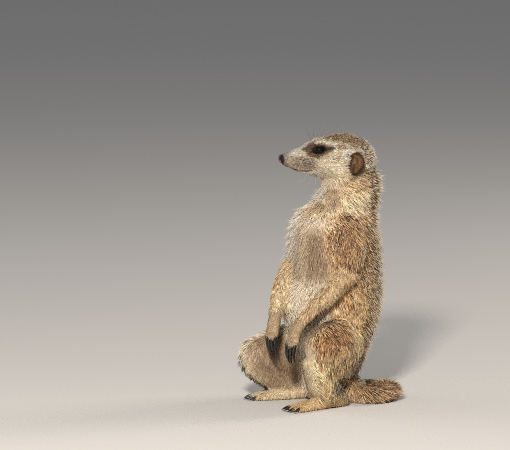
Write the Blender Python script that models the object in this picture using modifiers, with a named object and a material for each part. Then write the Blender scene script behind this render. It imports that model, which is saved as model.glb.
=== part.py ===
"""A life-size meerkat that sits upright on its haunches with its head turned to its right.

The frame: +Z up, the animal faces -Y, its left side is +X, and the floor is Z = 0. Lengths are
written in millimetres and become metres when a mesh is made. The solids reach out to the tips of
the coat. The animal is first modelled whole, from lofted forms merged by a voxel remesh, and is
then parted into its named pieces with thin cuts.
"""

import math

import bmesh
import bpy
from mathutils import Matrix, Vector

MM = 0.001

# Driving dimensions, in millimetres. A claw has a length, a half thickness and a bend in radians.
SITTING_HEIGHT = 245.0
HEAD_LENGTH = 86.0
TORSO_HALF_WIDTH = 36.0
NECK_RADIUS = 24.5
EYE_RADIUS = 5.4
EAR_SIZES = (6.4, 8.4, 10.8)
FORE_CLAW = (19.0, 2.15, 1.15)
HIND_CLAW = (9.0, 1.5, 0.5)
DIGITS = 4
CLAW_SPANS = 5
CLAW_SIDES = 6

# How the head sits: its nose tip, and how far it is turned to the animal's right
NOSE_TIP = Vector((-44.0, -6.5, SITTING_HEIGHT - 25.0))
HEAD_YAW = math.radians(44.0)

# How the solids are made
RING_POINTS = 28
VOXEL = 1.25
REGION_VOXEL = 2.0
SMOOTHINGS = {"bulk": 14, "whole": 5, "region": 2}
BODY_TRIANGLES = 5000
REGION_TRIANGLES = 240
REGION_MARGIN = 1.6
KEPT_SHARE = 0.515
GAP = 0.35
SETTLE_BELOW = 0.08
SMOOTH_BELOW = math.radians(50.0)

UP = Vector((0, 0, 1))
ACROSS = Vector((1, 0, 0))
FORWARD = Vector((0, -1, 0))


# Colour and roughness, and which one a piece has by how its name starts
MATERIALS = {
    "coat": ((0.50, 0.36, 0.20), 0.9),
    "pale_coat": ((0.68, 0.58, 0.44), 0.9),
    "tail_coat": ((0.46, 0.31, 0.16), 0.9),
    "dark_coat": ((0.10, 0.07, 0.05), 0.9),
    "eye": ((0.012, 0.009, 0.008), 0.08),
    "ear": ((0.17, 0.12, 0.08), 0.7),
    "nose": ((0.03, 0.025, 0.025), 0.4),
    "claw": ((0.02, 0.018, 0.016), 0.35),
}
MATERIAL_OF = [
    ("eye", "eye"), ("ear", "ear"), ("nose", "nose"), ("claw", "claw"), ("tail_tip", "dark_coat"),
    ("tail", "tail_coat"), ("forearm", "pale_coat"), ("hand", "pale_coat"), ("foot", "pale_coat"),
    ("head", "pale_coat"), ("lower_jaw", "pale_coat"), ("", "coat"),
]


def make_material(name, colour, roughness):
    material = bpy.data.materials.new(name)
    material.use_nodes = True
    shader = material.node_tree.nodes["Principled BSDF"]
    shader.inputs["Base Color"].default_value = (*colour, 1.0)
    shader.inputs["Roughness"].default_value = roughness
    shader.inputs["Metallic"].default_value = 0.0
    return material


# ---------------------------------------------------------------- curves through stations

def smoothed(stations, steps):
    """The stations with `steps` spans between each pair, on a Catmull-Rom curve in every value."""
    rows = [stations[0], *stations, stations[-1]]
    result = []
    for before, start, end, after in zip(rows, rows[1:], rows[2:], rows[3:]):
        for step in range(steps):
            t = step / steps
            result.append([
                0.5 * (2 * b + (c - a) * t + (2 * a - 5 * b + 4 * c - d) * t * t
                       + (3 * b - a - 3 * c + d) * t ** 3)
                for a, b, c, d in zip(before, start, end, after)
            ])
    result.append(list(stations[-1]))
    return result


def oval(centre, side, up, half_side, half_up, half_down, fullness=2.0, points=RING_POINTS):
    """One closed ring round `centre`. A fullness above 2 makes the oval squarer."""
    ring = []
    for index in range(points):
        angle = 2 * math.pi * index / points
        across, along = math.cos(angle), math.sin(angle)
        across = math.copysign(abs(across) ** (2 / fullness), across)
        along = math.copysign(abs(along) ** (2 / fullness), along)
        height = half_up if along > 0 else half_down
        ring.append(centre + side * (across * half_side) + up * (along * height))
    return ring


def mesh_object(name, mesh):
    data = bpy.data.meshes.new(name)
    mesh.to_mesh(data)
    mesh.free()
    obj = bpy.data.objects.new(name, data)
    bpy.context.scene.collection.objects.link(obj)
    return obj


def loft(name, rings):
    """A closed mesh through rings of points, with a fan at each end."""
    mesh = bmesh.new()
    rows = [[mesh.verts.new(point * MM) for point in ring] for ring in rings]
    for row, following in zip(rows, rows[1:]):
        for index in range(len(row)):
            after = (index + 1) % len(row)
            mesh.faces.new((row[index], row[after], following[after], following[index]))
    for row in (rows[0], rows[-1]):
        middle = mesh.verts.new(sum((v.co for v in row), Vector()) / len(row))
        for index in range(len(row)):
            mesh.faces.new((row[index], row[(index + 1) % len(row)], middle))
    bmesh.ops.recalc_face_normals(mesh, faces=mesh.faces)
    return mesh_object(name, mesh)


def upright_loft(name, stations, steps=5):
    """Stations are (x, y, z, half width, reach to the front, reach to the back), rings level."""
    rings = []
    for x, y, z, side, front, back in smoothed(stations, steps):
        rings.append(oval(Vector((x, y, z)), ACROSS, -FORWARD, side, back, front))
    return loft(name, rings)


def limb(name, stations, broad, grow=0.0, steps=5, points=RING_POINTS):
    """A loft along a bent path. Stations are (x, y, z, thickness, breadth): half sizes across the
    path, with the breadth along the direction `broad`."""
    rows = smoothed(stations, steps)
    centres = [Vector(row[:3]) for row in rows]
    rings = []
    for index, row in enumerate(rows):
        ahead = centres[min(index + 1, len(rows) - 1)] - centres[max(index - 1, 0)]
        ahead.normalize()
        up = (broad - ahead * broad.dot(ahead)).normalized()
        side = up.cross(ahead)
        thick, wide = row[3] + grow, row[4] + grow
        rings.append(oval(centres[index], side, up, thick, wide, wide, points=points))
    return loft(name, rings)


def ellipsoid(name, centre, half_sizes, turn=None, segments=20):
    mesh = bmesh.new()
    bmesh.ops.create_uvsphere(mesh, u_segments=segments, v_segments=segments * 3 // 5, radius=1.0)
    scale = Matrix.Diagonal((*(Vector(half_sizes) * MM), 1.0))
    place = Matrix.Translation(centre * MM) @ (turn or Matrix.Identity(4)) @ scale
    bmesh.ops.transform(mesh, matrix=place, verts=mesh.verts)
    return mesh_object(name, mesh)


# ---------------------------------------------------------------- joining and cutting

def apply_modifiers(obj):
    graph = bpy.context.evaluated_depsgraph_get()
    data = bpy.data.meshes.new_from_object(obj.evaluated_get(graph))
    obj.modifiers.clear()
    obj.data = data


def merged(name, forms, voxel):
    """One skin round all the forms, from a voxel remesh that is then smoothed."""
    mesh = bmesh.new()
    for form in forms:
        mesh.from_mesh(form.data)
        bpy.data.objects.remove(form, do_unlink=True)
    whole = mesh_object(name, mesh)
    remesh = whole.modifiers.new("remesh", "REMESH")
    remesh.mode = "VOXEL"
    remesh.voxel_size = voxel * MM
    smooth = whole.modifiers.new("smooth", "SMOOTH")
    smooth.factor = 0.5
    smooth.iterations = SMOOTHINGS[name]
    apply_modifiers(whole)
    return whole


def triangles_of(obj):
    obj.data.calc_loop_triangles()
    return len(obj.data.loop_triangles)


def thin_out(obj, share):
    """Collapses the mesh to about this share of its triangles."""
    decimate = obj.modifiers.new("decimate", "DECIMATE")
    decimate.ratio = share
    decimate.use_collapse_triangulate = True
    apply_modifiers(obj)


def copied(obj, name, swell=0.0):
    """A copy of the object, with its surface moved out by `swell` along its normals."""
    mesh = bmesh.new()
    mesh.from_mesh(obj.data)
    for vertex in mesh.verts:
        vertex.co += vertex.normal * (swell * MM)
    return mesh_object(name, mesh)


def boolean(obj, cutter, operation):
    modifier = obj.modifiers.new("cut", "BOOLEAN")
    modifier.operation = operation
    modifier.object = cutter
    apply_modifiers(obj)


def bodies_of(mesh):
    """The sets of vertices that hang together."""
    left = set(mesh.verts)
    while left:
        body, edge = set(), [left.pop()]
        while edge:
            vertex = edge.pop()
            body.add(vertex)
            for link in vertex.link_edges:
                other = link.other_vert(vertex)
                if other in left:
                    left.remove(other)
                    edge.append(other)
        yield body


def spread(body):
    """The volume of the box round a body, which tells a crumb from a piece."""
    sides = [max(v.co[i] for v in body) - min(v.co[i] for v in body) for i in range(3)]
    return sides[0] * sides[1] * sides[2]


def drop_crumbs(obj):
    """Keeps the main body of a piece, without the crumbs that a cut can leave beside it."""
    mesh = bmesh.new()
    mesh.from_mesh(obj.data)
    bodies = sorted(bodies_of(mesh), key=spread)
    crumbs = [vertex for body in bodies[:-1] for vertex in body]
    bmesh.ops.delete(mesh, geom=crumbs, context="VERTS")
    mesh.to_mesh(obj.data)
    mesh.free()


def halved(obj, name, point, normal):
    """The part of the object on the side that `normal` points to, closed with a flat face."""
    mesh = bmesh.new()
    mesh.from_mesh(obj.data)
    geometry = mesh.verts[:] + mesh.edges[:] + mesh.faces[:]
    cut = bmesh.ops.bisect_plane(mesh, geom=geometry, plane_co=point * MM, plane_no=normal,
                                 clear_inner=True)
    rim = [item for item in cut["geom_cut"] if isinstance(item, bmesh.types.BMEdge)]
    bmesh.ops.holes_fill(mesh, edges=rim)
    bmesh.ops.triangulate(mesh, faces=[face for face in mesh.faces if len(face.verts) > 4])
    return mesh_object(name, mesh)


def part_at_plane(obj, point, normal, near_name, far_name):
    """Two pieces with a thin gap between them, the second one on the side `normal` points to."""
    normal = normal.normalized()
    near = halved(obj, near_name, point - normal * (GAP / 2), -normal)
    far = halved(obj, far_name, point + normal * (GAP / 2), normal)
    bpy.data.objects.remove(obj, do_unlink=True)
    for piece in (near, far):
        drop_crumbs(piece)
    return near, far


def part_by_region(obj, region, name):
    """Takes the piece of the object inside the region out of it, with a thin gap all round."""
    piece = copied(obj, name)
    boolean(piece, region, "INTERSECT")
    around = copied(region, "around", GAP)
    boolean(obj, around, "DIFFERENCE")
    for cutter in (region, around):
        bpy.data.objects.remove(cutter, do_unlink=True)
    for one in (piece, obj):
        drop_crumbs(one)
    return piece


# ---------------------------------------------------------------- the head

def head_frame():
    """The head's axes as a rotation: local X is its left, local Y runs from the nose to the nape."""
    return Matrix.Rotation(-HEAD_YAW, 4, "Z")


def in_head(back, side, up):
    """A point given from the nose tip: back along the head, to its left, and up."""
    return NOSE_TIP + head_frame() @ Vector((side, back, up))


def head_direction(back, side, up):
    return (head_frame() @ Vector((side, back, up))).normalized()


# Back from the nose tip, top, bottom, half width, height of the widest place, fullness
HEAD_STATIONS = [
    (-0.4, 0.8, -2.6, 1.6, -0.8, 2.0),
    (0.6, 2.3, -4.2, 4.2, -0.9, 2.2),
    (3.5, 3.6, -6.0, 5.8, -1.3, 2.3),
    (9.0, 5.8, -10.0, 7.6, -2.5, 2.4),
    (15.0, 8.6, -12.8, 9.4, -3.5, 2.4),
    (20.0, 11.0, -14.6, 11.2, -3.5, 2.3),
    (25.0, 14.4, -16.0, 13.8, -2.0, 2.2),
    (31.0, 17.9, -17.4, 17.4, -1.0, 2.2),
    (38.0, 19.2, -19.4, 20.6, -1.0, 2.2),
    (47.0, 21.0, -22.0, 23.6, -2.0, 2.1),
    (57.0, 22.0, -24.0, 26.0, -3.5, 2.1),
    (66.0, 21.0, -24.0, 26.0, -3.5, 2.0),
    (75.0, 16.2, -21.0, 22.8, -2.5, 2.0),
    (82.0, 9.0, -15.0, 17.0, -3.0, 2.0),
    (HEAD_LENGTH, 1.0, -8.0, 7.0, -4.0, 2.0),
]

# Places on the head, each as back, side and up, and the nose pad's half sizes across, back and up
NOSE_PAD_PLACE = (3.2, 0.0, -0.9)
NOSE_PAD_SIZES = (4.2, 3.8, 4.4)
EYE_PLACE = (37.0, 13.6, 8.6)
EAR_PLACE = (68.8, 24.0, -2.8)
EAR_TILT = math.radians(21.0)
EAR_TURN = math.radians(18.0)

# The ear's bowl: its place in the ear's frame and its half sizes
BOWL_PLACE = (5.4, -1.9, -0.8)
BOWL_SIZES = (6.0, 6.6, 8.2)

# The mouth line, as back and up. The lower jaw is what lies under it.
MOUTH_LINE = [(0.0, -6.2), (4.0, -7.4), (11.0, -9.4), (18.0, -11.4), (26.0, -11.4), (33.0, -8.6)]

# Soft swells and hollows of the face: back, side and up of the middle, its reach, and how far the
# surface there moves backward, outward and up. Each is made on both sides.
FACE_MOVES = [
    ("brow", 32.0, 14.0, 15.0, 9.0, (0.0, 1.6, 1.6)),
    ("socket", 36.0, 20.0, 7.0, 9.5, (0.0, -2.2, 0.0)),
    ("inner_corner", 27.0, 14.0, 6.0, 7.0, (0.0, -1.4, 0.0)),
    ("cheekbone", 42.0, 23.0, -3.0, 10.0, (0.0, 1.2, 0.0)),
    ("jowl", 55.0, 24.0, -12.0, 17.0, (0.0, 2.4, -0.8)),
    ("whisker_pad", 10.0, 8.5, -5.0, 8.0, (0.0, 1.3, -0.4)),
    ("muzzle_side", 20.0, 11.0, 1.0, 7.0, (0.0, -1.0, 0.0)),
]


def skull_form():
    rings = []
    side = head_direction(0, 1, 0)
    for back, top, bottom, half, widest, fullness in smoothed(HEAD_STATIONS, 4):
        centre = in_head(back, 0, widest)
        rings.append(oval(centre, side, UP, half, top - widest, widest - bottom, fullness))
    return loft("skull", rings)


def shape_face(obj):
    """Moves the surface of the face, most at the middle of each move and not at all at its rim."""
    mesh = bmesh.new()
    mesh.from_mesh(obj.data)
    for _, back, side, up, reach, (push, out, lift) in FACE_MOVES:
        for hand in (-1, 1):
            centre = in_head(back, hand * side, up) * MM
            way = head_frame() @ Vector((hand * out, push, lift)) * MM
            for vertex in mesh.verts:
                distance = (vertex.co - centre).length / (reach * MM)
                if distance < 1.0:
                    vertex.co += way * (1 - distance * distance) ** 2
    mesh.to_mesh(obj.data)
    mesh.free()


def jaw_region():
    """The space under the mouth line, as a prism across the head."""
    front, corner = MOUTH_LINE[0], MOUTH_LINE[-1]
    low = -HEAD_LENGTH / 2
    outline = [*MOUTH_LINE, (corner[0] + 1.0, low), (front[0], low)]
    half = HEAD_LENGTH / 2
    rings = [[in_head(back, side, up) for back, up in outline] for side in (-half, half)]
    return loft("jaw_region", rings)


def eye(hand, grow=0.0):
    back, side, up = EYE_PLACE
    radius = EYE_RADIUS + grow
    return ellipsoid("eye", in_head(back, hand * side, up), (radius, radius, radius), segments=14)


def nose_pad(grow=0.0):
    sizes = Vector(NOSE_PAD_SIZES) + Vector((grow, grow, grow))
    return ellipsoid("nose", in_head(*NOSE_PAD_PLACE), sizes, head_frame(), segments=12)


def ear_frame(hand):
    """Local X points out of the ear's bowl, local Y back and local Z up the ear."""
    lean = Matrix.Rotation(-EAR_TILT, 4, "X")
    turn = Matrix.Rotation(-EAR_TURN * hand, 4, "Z")
    return head_frame() @ turn @ lean


def ear(hand, grow=0.0):
    """A low round ear: an outer shell, whose bowl is hollowed when it isn't grown."""
    back, side, up = EAR_PLACE
    centre = in_head(back, hand * side, up)
    sizes = Vector(EAR_SIZES) + Vector((grow, grow, grow))
    shell = ellipsoid("ear", centre, sizes, ear_frame(hand), segments=16)
    if grow == 0.0:
        out, along, rise = BOWL_PLACE
        offset = ear_frame(hand) @ Vector((hand * out, along, rise))
        bowl = ellipsoid("bowl", centre + offset, BOWL_SIZES, ear_frame(hand), segments=12)
        boolean(shell, bowl, "DIFFERENCE")
        bpy.data.objects.remove(bowl, do_unlink=True)
    return shell


# ---------------------------------------------------------------- trunk, limbs and tail

TRUNK_STATIONS = [
    (-1.0, 34.0, 194.0, 12.0, 14.0, 14.0),
    (0.0, 30.5, 184.0, 23.0, 25.0, 25.5),
    (0.0, 23.5, 173.0, 31.0, 34.0, 34.0),
    (0.0, 18.5, 160.0, 34.5, 36.5, 39.5),
    (0.0, 17.8, 146.0, TORSO_HALF_WIDTH, 37.5, 43.0),
    (0.0, 19.0, 124.0, TORSO_HALF_WIDTH, 37.5, 45.0),
    (0.0, 20.5, 104.0, TORSO_HALF_WIDTH + 0.5, 37.5, 44.0),
    (0.0, 20.0, 86.0, TORSO_HALF_WIDTH + 1.0, 37.5, 42.0),
    (0.0, 18.5, 70.0, TORSO_HALF_WIDTH, 35.5, 38.0),
    (0.0, 14.0, 52.0, 33.0, 30.0, 35.0),
    (0.0, 9.0, 36.0, 30.0, 24.0, 32.0),
    (0.0, 6.0, 20.0, 25.0, 18.0, 28.0),
    (0.0, 5.0, 8.0, 18.0, 13.0, 21.0),
    (0.0, 5.0, -1.0, 12.0, 8.0, 13.0),
]

# The low belly bulges forward between the thighs
BELLY_PLACE = Vector((-8.5, -3.0, 86.0))
BELLY_SIZES = (23.0, 23.0, 34.0)

NECK_STATIONS = [
    (0.0, 24.0, 160.0, 24.0, 24.0),
    (0.0, 31.5, 175.0, NECK_RADIUS + 2.5, NECK_RADIUS + 2.5),
    (0.5, 38.5, 190.0, NECK_RADIUS, NECK_RADIUS),
    (-2.5, 38.5, 205.0, NECK_RADIUS, NECK_RADIUS),
    (-8.0, 33.0, 219.0, 19.0, 19.0),
]

# x, y, z, thickness, breadth. The right hind leg points outward, and so does its foot.
THIGHS = {
    "left": [
        (8.0, 28.0, 50.0, 16.0, 24.0),
        (21.0, 14.0, 50.0, 18.5, 31.0),
        (31.0, -8.0, 53.0, 18.0, 30.0),
        (36.0, -27.0, 57.0, 16.5, 24.0),
        (37.0, -41.0, 58.0, 14.0, 18.0),
        (36.5, -51.0, 57.0, 8.0, 9.5),
    ],
    "right": [
        (-8.0, 28.0, 48.0, 16.0, 23.0),
        (-20.0, 14.0, 46.0, 18.0, 29.0),
        (-31.0, -8.0, 43.0, 17.0, 26.0),
        (-40.0, -31.0, 42.0, 15.5, 20.0),
        (-47.0, -45.0, 41.0, 11.0, 14.0),
        (-50.0, -50.0, 41.0, 5.0, 6.5),
    ],
}
SHANKS = {
    "left": [
        (36.0, -41.0, 50.0, 13.0, 13.0),
        (36.0, -37.0, 36.0, 13.5, 16.0),
        (35.5, -28.0, 22.0, 12.5, 17.5),
        (35.0, -16.0, 13.0, 10.0, 14.0),
        (35.0, -4.0, 9.0, 7.5, 8.5),
    ],
    "right": [
        (-45.0, -42.0, 36.0, 11.0, 12.0),
        (-38.0, -30.0, 25.0, 11.5, 13.0),
        (-29.0, -16.0, 16.0, 10.0, 11.0),
        (-19.0, -4.0, 9.0, 7.5, 8.5),
    ],
}
FEET = {
    "left": [
        (35.5, 1.0, 6.0, 4.0, 5.0),
        (35.0, -5.0, 6.5, 8.0, 7.5),
        (33.0, -19.0, 5.5, 8.5, 7.5),
        (30.0, -35.0, 4.6, 9.5, 6.5),
        (28.0, -48.0, 4.0, 9.5, 5.5),
        (27.0, -53.0, 3.6, 7.5, 4.6),
    ],
    "right": [
        (-13.0, 3.0, 6.5, 4.0, 5.0),
        (-17.0, -3.0, 7.0, 8.0, 8.0),
        (-24.0, -13.0, 6.0, 8.5, 7.0),
        (-31.0, -23.0, 4.6, 9.5, 6.0),
        (-37.0, -31.0, 4.0, 9.5, 5.2),
        (-40.0, -35.0, 3.6, 7.5, 4.4),
    ],
}
UPPER_ARMS = {
    "left": [
        (19.0, 14.0, 170.0, 12.0, 14.0),
        (26.0, 9.0, 157.0, 14.0, 17.0),
        (32.0, 9.0, 142.0, 12.5, 15.0),
        (33.0, 9.0, 128.0, 10.0, 12.0),
    ],
    "right": [
        (-18.0, 14.0, 170.0, 12.0, 14.0),
        (-23.0, 8.0, 157.0, 13.0, 15.0),
        (-26.0, 5.0, 142.0, 11.5, 13.0),
        (-29.5, 2.0, 128.0, 9.5, 10.5),
    ],
}
FOREARMS = {
    "left": [
        (33.0, 9.0, 126.0, 6.5, 7.5),
        (33.0, 3.5, 119.0, 9.0, 10.5),
        (27.5, -12.0, 104.0, 8.5, 9.8),
        (19.0, -28.0, 88.0, 7.0, 8.0),
        (14.5, -37.0, 77.0, 6.2, 6.8),
    ],
    "right": [
        (-31.0, 4.0, 129.0, 7.0, 8.0),
        (-30.0, -4.0, 120.0, 9.0, 10.0),
        (-26.0, -20.0, 104.0, 8.0, 9.5),
        (-19.5, -33.0, 89.0, 6.8, 7.8),
        (-17.0, -38.0, 81.0, 6.2, 6.8),
    ],
}
PALMS = {
    "left": [
        (15.0, -36.0, 79.0, 6.0, 6.2),
        (13.2, -40.5, 71.0, 5.2, 6.8),
        (12.4, -44.0, 63.5, 4.6, 7.4),
        (12.2, -45.0, 60.5, 3.4, 6.2),
    ],
    "right": [
        (-17.0, -37.0, 83.0, 6.0, 6.2),
        (-15.6, -40.5, 75.0, 5.2, 6.8),
        (-14.6, -43.5, 67.5, 4.6, 7.4),
        (-14.4, -44.5, 64.5, 3.4, 6.2),
    ],
}
TAIL_STATIONS = [
    (2.0, 20.0, 34.0, 12.0, 12.0),
    (14.0, 23.0, 20.0, 11.5, 11.5),
    (29.0, 18.5, 10.6, 10.2, 10.2),
    (41.0, 19.5, 9.0, 9.6, 9.6),
    (49.0, 30.0, 8.7, 9.3, 9.3),
    (49.0, 44.0, 8.4, 9.0, 9.0),
    (39.0, 55.0, 8.0, 8.5, 8.5),
    (24.0, 61.0, 7.4, 7.8, 7.8),
    (7.0, 62.0, 6.7, 7.1, 7.1),
    (-10.0, 58.0, 5.7, 6.3, 6.3),
    (-25.0, 50.0, 4.7, 5.4, 5.4),
    (-36.0, 41.0, 2.9, 2.9, 2.9),
]

# Where the long forms are cut across: the tail after these stations, and the trunk at these points
TAIL_SPLITS = {"tail_base": 4, "tail_middle": 8}
THROAT = (45.0, 0.0, -23.0)
NAPE = (85.0, 0.0, -3.0)
NECK_BASE = Vector((0.0, 30.0, 178.0))
NECK_BASE_NORMAL = Vector((0.0, -0.3, 1.0))
WAIST = Vector((0.0, 20.0, 114.0))
HIPS = Vector((0.0, 18.0, 66.0))
KNEE_RISE = 2.0
ANKLE_RISE = 4.0
ANKLE_TILT = 0.12
ELBOW_SHARE = 0.35

# Digits: how wide apart, how thick, and how far they reach past the palm or the sole
FINGER = {"spacing": 4.1, "radius": 2.6, "length": 5.5, "root": 0.95, "splay": 0.87}
TOE = {"spacing": 4.8, "radius": 3.0, "length": 7.0, "root": 0.9, "splay": 1.12}


# A digit is shorter by this times the square of its place from the middle of the row
OUTER_DIGIT_LOSS = 1.1


def direction_at_end(stations):
    return (Vector(stations[-1][:3]) - Vector(stations[-3][:3])).normalized()


def digit_rows(stations, size, claw_drop):
    """For each digit its root, its tip and the way its claw points."""
    ahead = direction_at_end(stations)
    across = ahead.cross(claw_drop).normalized()
    root = Vector(stations[-2][:3])
    reach = (Vector(stations[-1][:3]) - root).length + size["length"]
    for index in range(DIGITS):
        place = index - (DIGITS - 1) / 2
        shorter = OUTER_DIGIT_LOSS * place * place
        base = root + across * (place * size["spacing"] * size["root"])
        tip = root + across * (place * size["spacing"] * size["splay"]) + ahead * (reach - shorter)
        yield base, tip, (tip - base).normalized()


def digit_forms(stations, size, claw_drop, grow=0.0):
    forms = []
    radius = size["radius"] + grow
    for base, tip, ahead in digit_rows(stations, size, claw_drop):
        path = [
            (*base, radius, radius),
            (*base.lerp(tip, 0.6), radius * 1.02, radius * 1.02),
            (*tip, radius * 0.8, radius * 0.8),
            (*(tip + ahead * radius * 0.7), radius * 0.3, radius * 0.3),
        ]
        forms.append(limb("digit", path, -claw_drop, steps=3, points=12))
    return forms


def claws(stations, size, claw_drop, length, thickness, curl, grow=0.0):
    """Curved, pointed claws, each from inside the tip of its digit."""
    forms = []
    for _, tip, ahead in digit_rows(stations, size, claw_drop):
        path = []
        for index in range(CLAW_SPANS + 1):
            t = index / CLAW_SPANS
            bend = curl * t
            way = ahead * math.sin(bend) / curl + claw_drop * (1 - math.cos(bend)) / curl
            radius = thickness * (1 - 0.86 * t ** 1.6)
            point = tip - ahead * 0.5 + way * length
            path.append((*point, radius * 0.72 + grow, radius + grow))
        forms.append(limb("claw", path, claw_drop, steps=1, points=CLAW_SIDES))
    return forms


PALM_FACES = Vector((0.0, 0.94, -0.34))
SOLE_FACES = Vector((0.0, 0.0, -1.0))
SIDES = ("left", "right")


def bulk_forms():
    """The large forms, which run softly into each other."""
    forms = [
        upright_loft("trunk", TRUNK_STATIONS),
        ellipsoid("belly", BELLY_PLACE, BELLY_SIZES, segments=RING_POINTS),
        limb("neck", NECK_STATIONS, FORWARD),
        limb("tail", TAIL_STATIONS, UP),
    ]
    for side in SIDES:
        forms += [
            limb("upper_arm", UPPER_ARMS[side], FORWARD),
            limb("forearm", FOREARMS[side], FORWARD),
            limb("thigh", THIGHS[side], UP),
            limb("shank", SHANKS[side], FORWARD),
        ]
    return forms


def hand_forms(side, grow=0.0):
    palm = limb("palm", PALMS[side], ACROSS, grow)
    return [palm, *digit_forms(PALMS[side], FINGER, PALM_FACES, grow)]


def foot_forms(side, grow=0.0):
    foot = limb("foot", FEET[side], UP, grow)
    return [foot, *digit_forms(FEET[side], TOE, SOLE_FACES, grow)]


def region(forms):
    """The space that a limb takes, a little larger than its forms."""
    space = merged("region", forms, REGION_VOXEL)
    thin_out(space, REGION_TRIANGLES / triangles_of(space))
    return space


def arm_region(side):
    grow = REGION_MARGIN
    return region([
        limb("upper_arm", UPPER_ARMS[side], FORWARD, grow),
        limb("forearm", FOREARMS[side], FORWARD, grow),
        *hand_forms(side, grow),
    ])


def leg_region(side):
    """The thigh starts at its second station, so that the pelvis keeps the hips together."""
    grow = REGION_MARGIN
    return region([
        limb("thigh", THIGHS[side][1:], UP, grow),
        limb("shank", SHANKS[side], FORWARD, grow),
        *foot_forms(side, grow),
    ])


def tail_region():
    return region([limb("tail", TAIL_STATIONS[2:], UP, REGION_MARGIN)])


# ---------------------------------------------------------------- the whole animal, then its parts

def whole_animal():
    bulk = merged("bulk", bulk_forms(), VOXEL)
    fine = [skull_form()]
    for side in SIDES:
        fine += hand_forms(side) + foot_forms(side)
    whole = merged("whole", [bulk, *fine], VOXEL)
    shape_face(whole)
    thin_out(whole, BODY_TRIANGLES / triangles_of(whole))
    standing = halved(whole, "body", Vector((0, 0, 0)), UP)
    bpy.data.objects.remove(whole, do_unlink=True)
    return standing


def carve(obj, cutters):
    """Makes room in a piece for the pieces that sit in it."""
    for cutter in cutters:
        boolean(obj, cutter, "DIFFERENCE")
        bpy.data.objects.remove(cutter, do_unlink=True)
    drop_crumbs(obj)


def between(stations, index):
    """The middle and the direction of the span after one station."""
    start, end = Vector(stations[index][:3]), Vector(stations[index + 1][:3])
    return start.lerp(end, 0.5), end - start


def part_arm(body, side):
    arm = part_by_region(body, arm_region(side), "arm")
    elbow = Vector(FOREARMS[side][0][:3]).lerp(Vector(FOREARMS[side][1][:3]), ELBOW_SHARE)
    upper_way = direction_at_end(UPPER_ARMS[side])
    fore_way = direction_at_end(FOREARMS[side])
    upper_arm, lower = part_at_plane(arm, elbow, upper_way + fore_way, "upper_arm_" + side, "low")
    wrist = Vector(PALMS[side][0][:3])
    forearm, hand = part_at_plane(lower, wrist, fore_way, "forearm_" + side, "hand_" + side)
    for piece in (upper_arm, forearm, hand):
        thin_out(piece, KEPT_SHARE)
    shape = (PALMS[side], FINGER, PALM_FACES, *FORE_CLAW)
    carve(hand, claws(*shape, grow=GAP))
    return [upper_arm, forearm, hand, *numbered(claws(*shape), "claw_hand_" + side)]


def part_leg(body, side):
    leg = part_by_region(body, leg_region(side), "leg")
    knee = Vector(SHANKS[side][0][:3])
    heel = Vector(SHANKS[side][-1][:3])
    fold = (heel - knee).cross(ACROSS)
    if fold.z > 0:
        fold = -fold
    thigh, lower = part_at_plane(leg, knee + UP * KNEE_RISE, fold, "thigh_" + side, "low")
    ankle = heel + UP * ANKLE_RISE
    toward_toes = Vector(FEET[side][-1][:3]) - heel
    tilt = Vector((toward_toes.x, toward_toes.y, 0.0)).normalized() * ANKLE_TILT
    foot, shank = part_at_plane(lower, ankle, UP + tilt, "foot_" + side, "shank_" + side)
    for piece in (thigh, shank, foot):
        thin_out(piece, KEPT_SHARE)
    shape = (FEET[side], TOE, SOLE_FACES, *HIND_CLAW)
    carve(foot, claws(*shape, grow=GAP))
    return [thigh, shank, foot, *numbered(claws(*shape), "claw_foot_" + side)]


def numbered(pieces, name):
    for index, piece in enumerate(pieces, start=1):
        piece.name = f"{name}_{index}"
    return pieces


def part_tail(body):
    rest = part_by_region(body, tail_region(), "tail")
    pieces = []
    for name, index in TAIL_SPLITS.items():
        point, way = between(TAIL_STATIONS, index)
        piece, rest = part_at_plane(rest, point, way, name, "rest")
        pieces.append(piece)
    rest.name = "tail_tip"
    pieces.append(rest)
    for piece in pieces:
        thin_out(piece, KEPT_SHARE)
    return pieces


def part_trunk(body):
    throat, nape = in_head(*THROAT), in_head(*NAPE)
    head_side = (nape - throat).cross(head_direction(0, 1, 0))
    if head_side.z < 0:
        head_side = -head_side
    rest, head = part_at_plane(body, throat, head_side, "rest", "head")
    rest, neck = part_at_plane(rest, NECK_BASE, NECK_BASE_NORMAL, "rest", "neck")
    rest, chest = part_at_plane(rest, WAIST, UP, "rest", "chest")
    pelvis, abdomen = part_at_plane(rest, HIPS, UP, "pelvis", "abdomen")
    for piece in (head, neck, chest, abdomen, pelvis):
        thin_out(piece, KEPT_SHARE)
    return head, neck, [chest, abdomen, pelvis]


def part_head(head, neck):
    """The ears sit in a hollow of the head that reaches down into the neck."""
    pieces = []
    for hand, side in ((1, "left"), (-1, "right")):
        carve(head, [eye(hand, GAP), ear(hand, GAP)])
        carve(neck, [ear(hand, GAP)])
        for piece, name in ((eye(hand), "eye_"), (ear(hand), "ear_")):
            piece.name = name + side
            pieces.append(piece)
    carve(head, [nose_pad(GAP)])
    pad = nose_pad()
    pad.name = "nose"
    jaw = part_by_region(head, jaw_region(), "lower_jaw")
    return [head, jaw, pad, *pieces]


def middle_of(pieces, axis):
    """The middle of the box round all the pieces, along one axis."""
    places = [vertex.co[axis] for piece in pieces for vertex in piece.data.vertices]
    return (min(places) + max(places)) / 2


def centre(pieces):
    """Moves the animal over the origin, which is the middle of its footprint."""
    shift = Matrix.Translation((-middle_of(pieces, 0), -middle_of(pieces, 1), 0.0))
    for piece in pieces:
        piece.data.transform(shift)


def settle(piece):
    """Makes the flats that rest on the floor truly flat, after the thinning has moved them."""
    for vertex in piece.data.vertices:
        if vertex.co.z < SETTLE_BELOW * MM:
            vertex.co.z = 0.0


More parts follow.
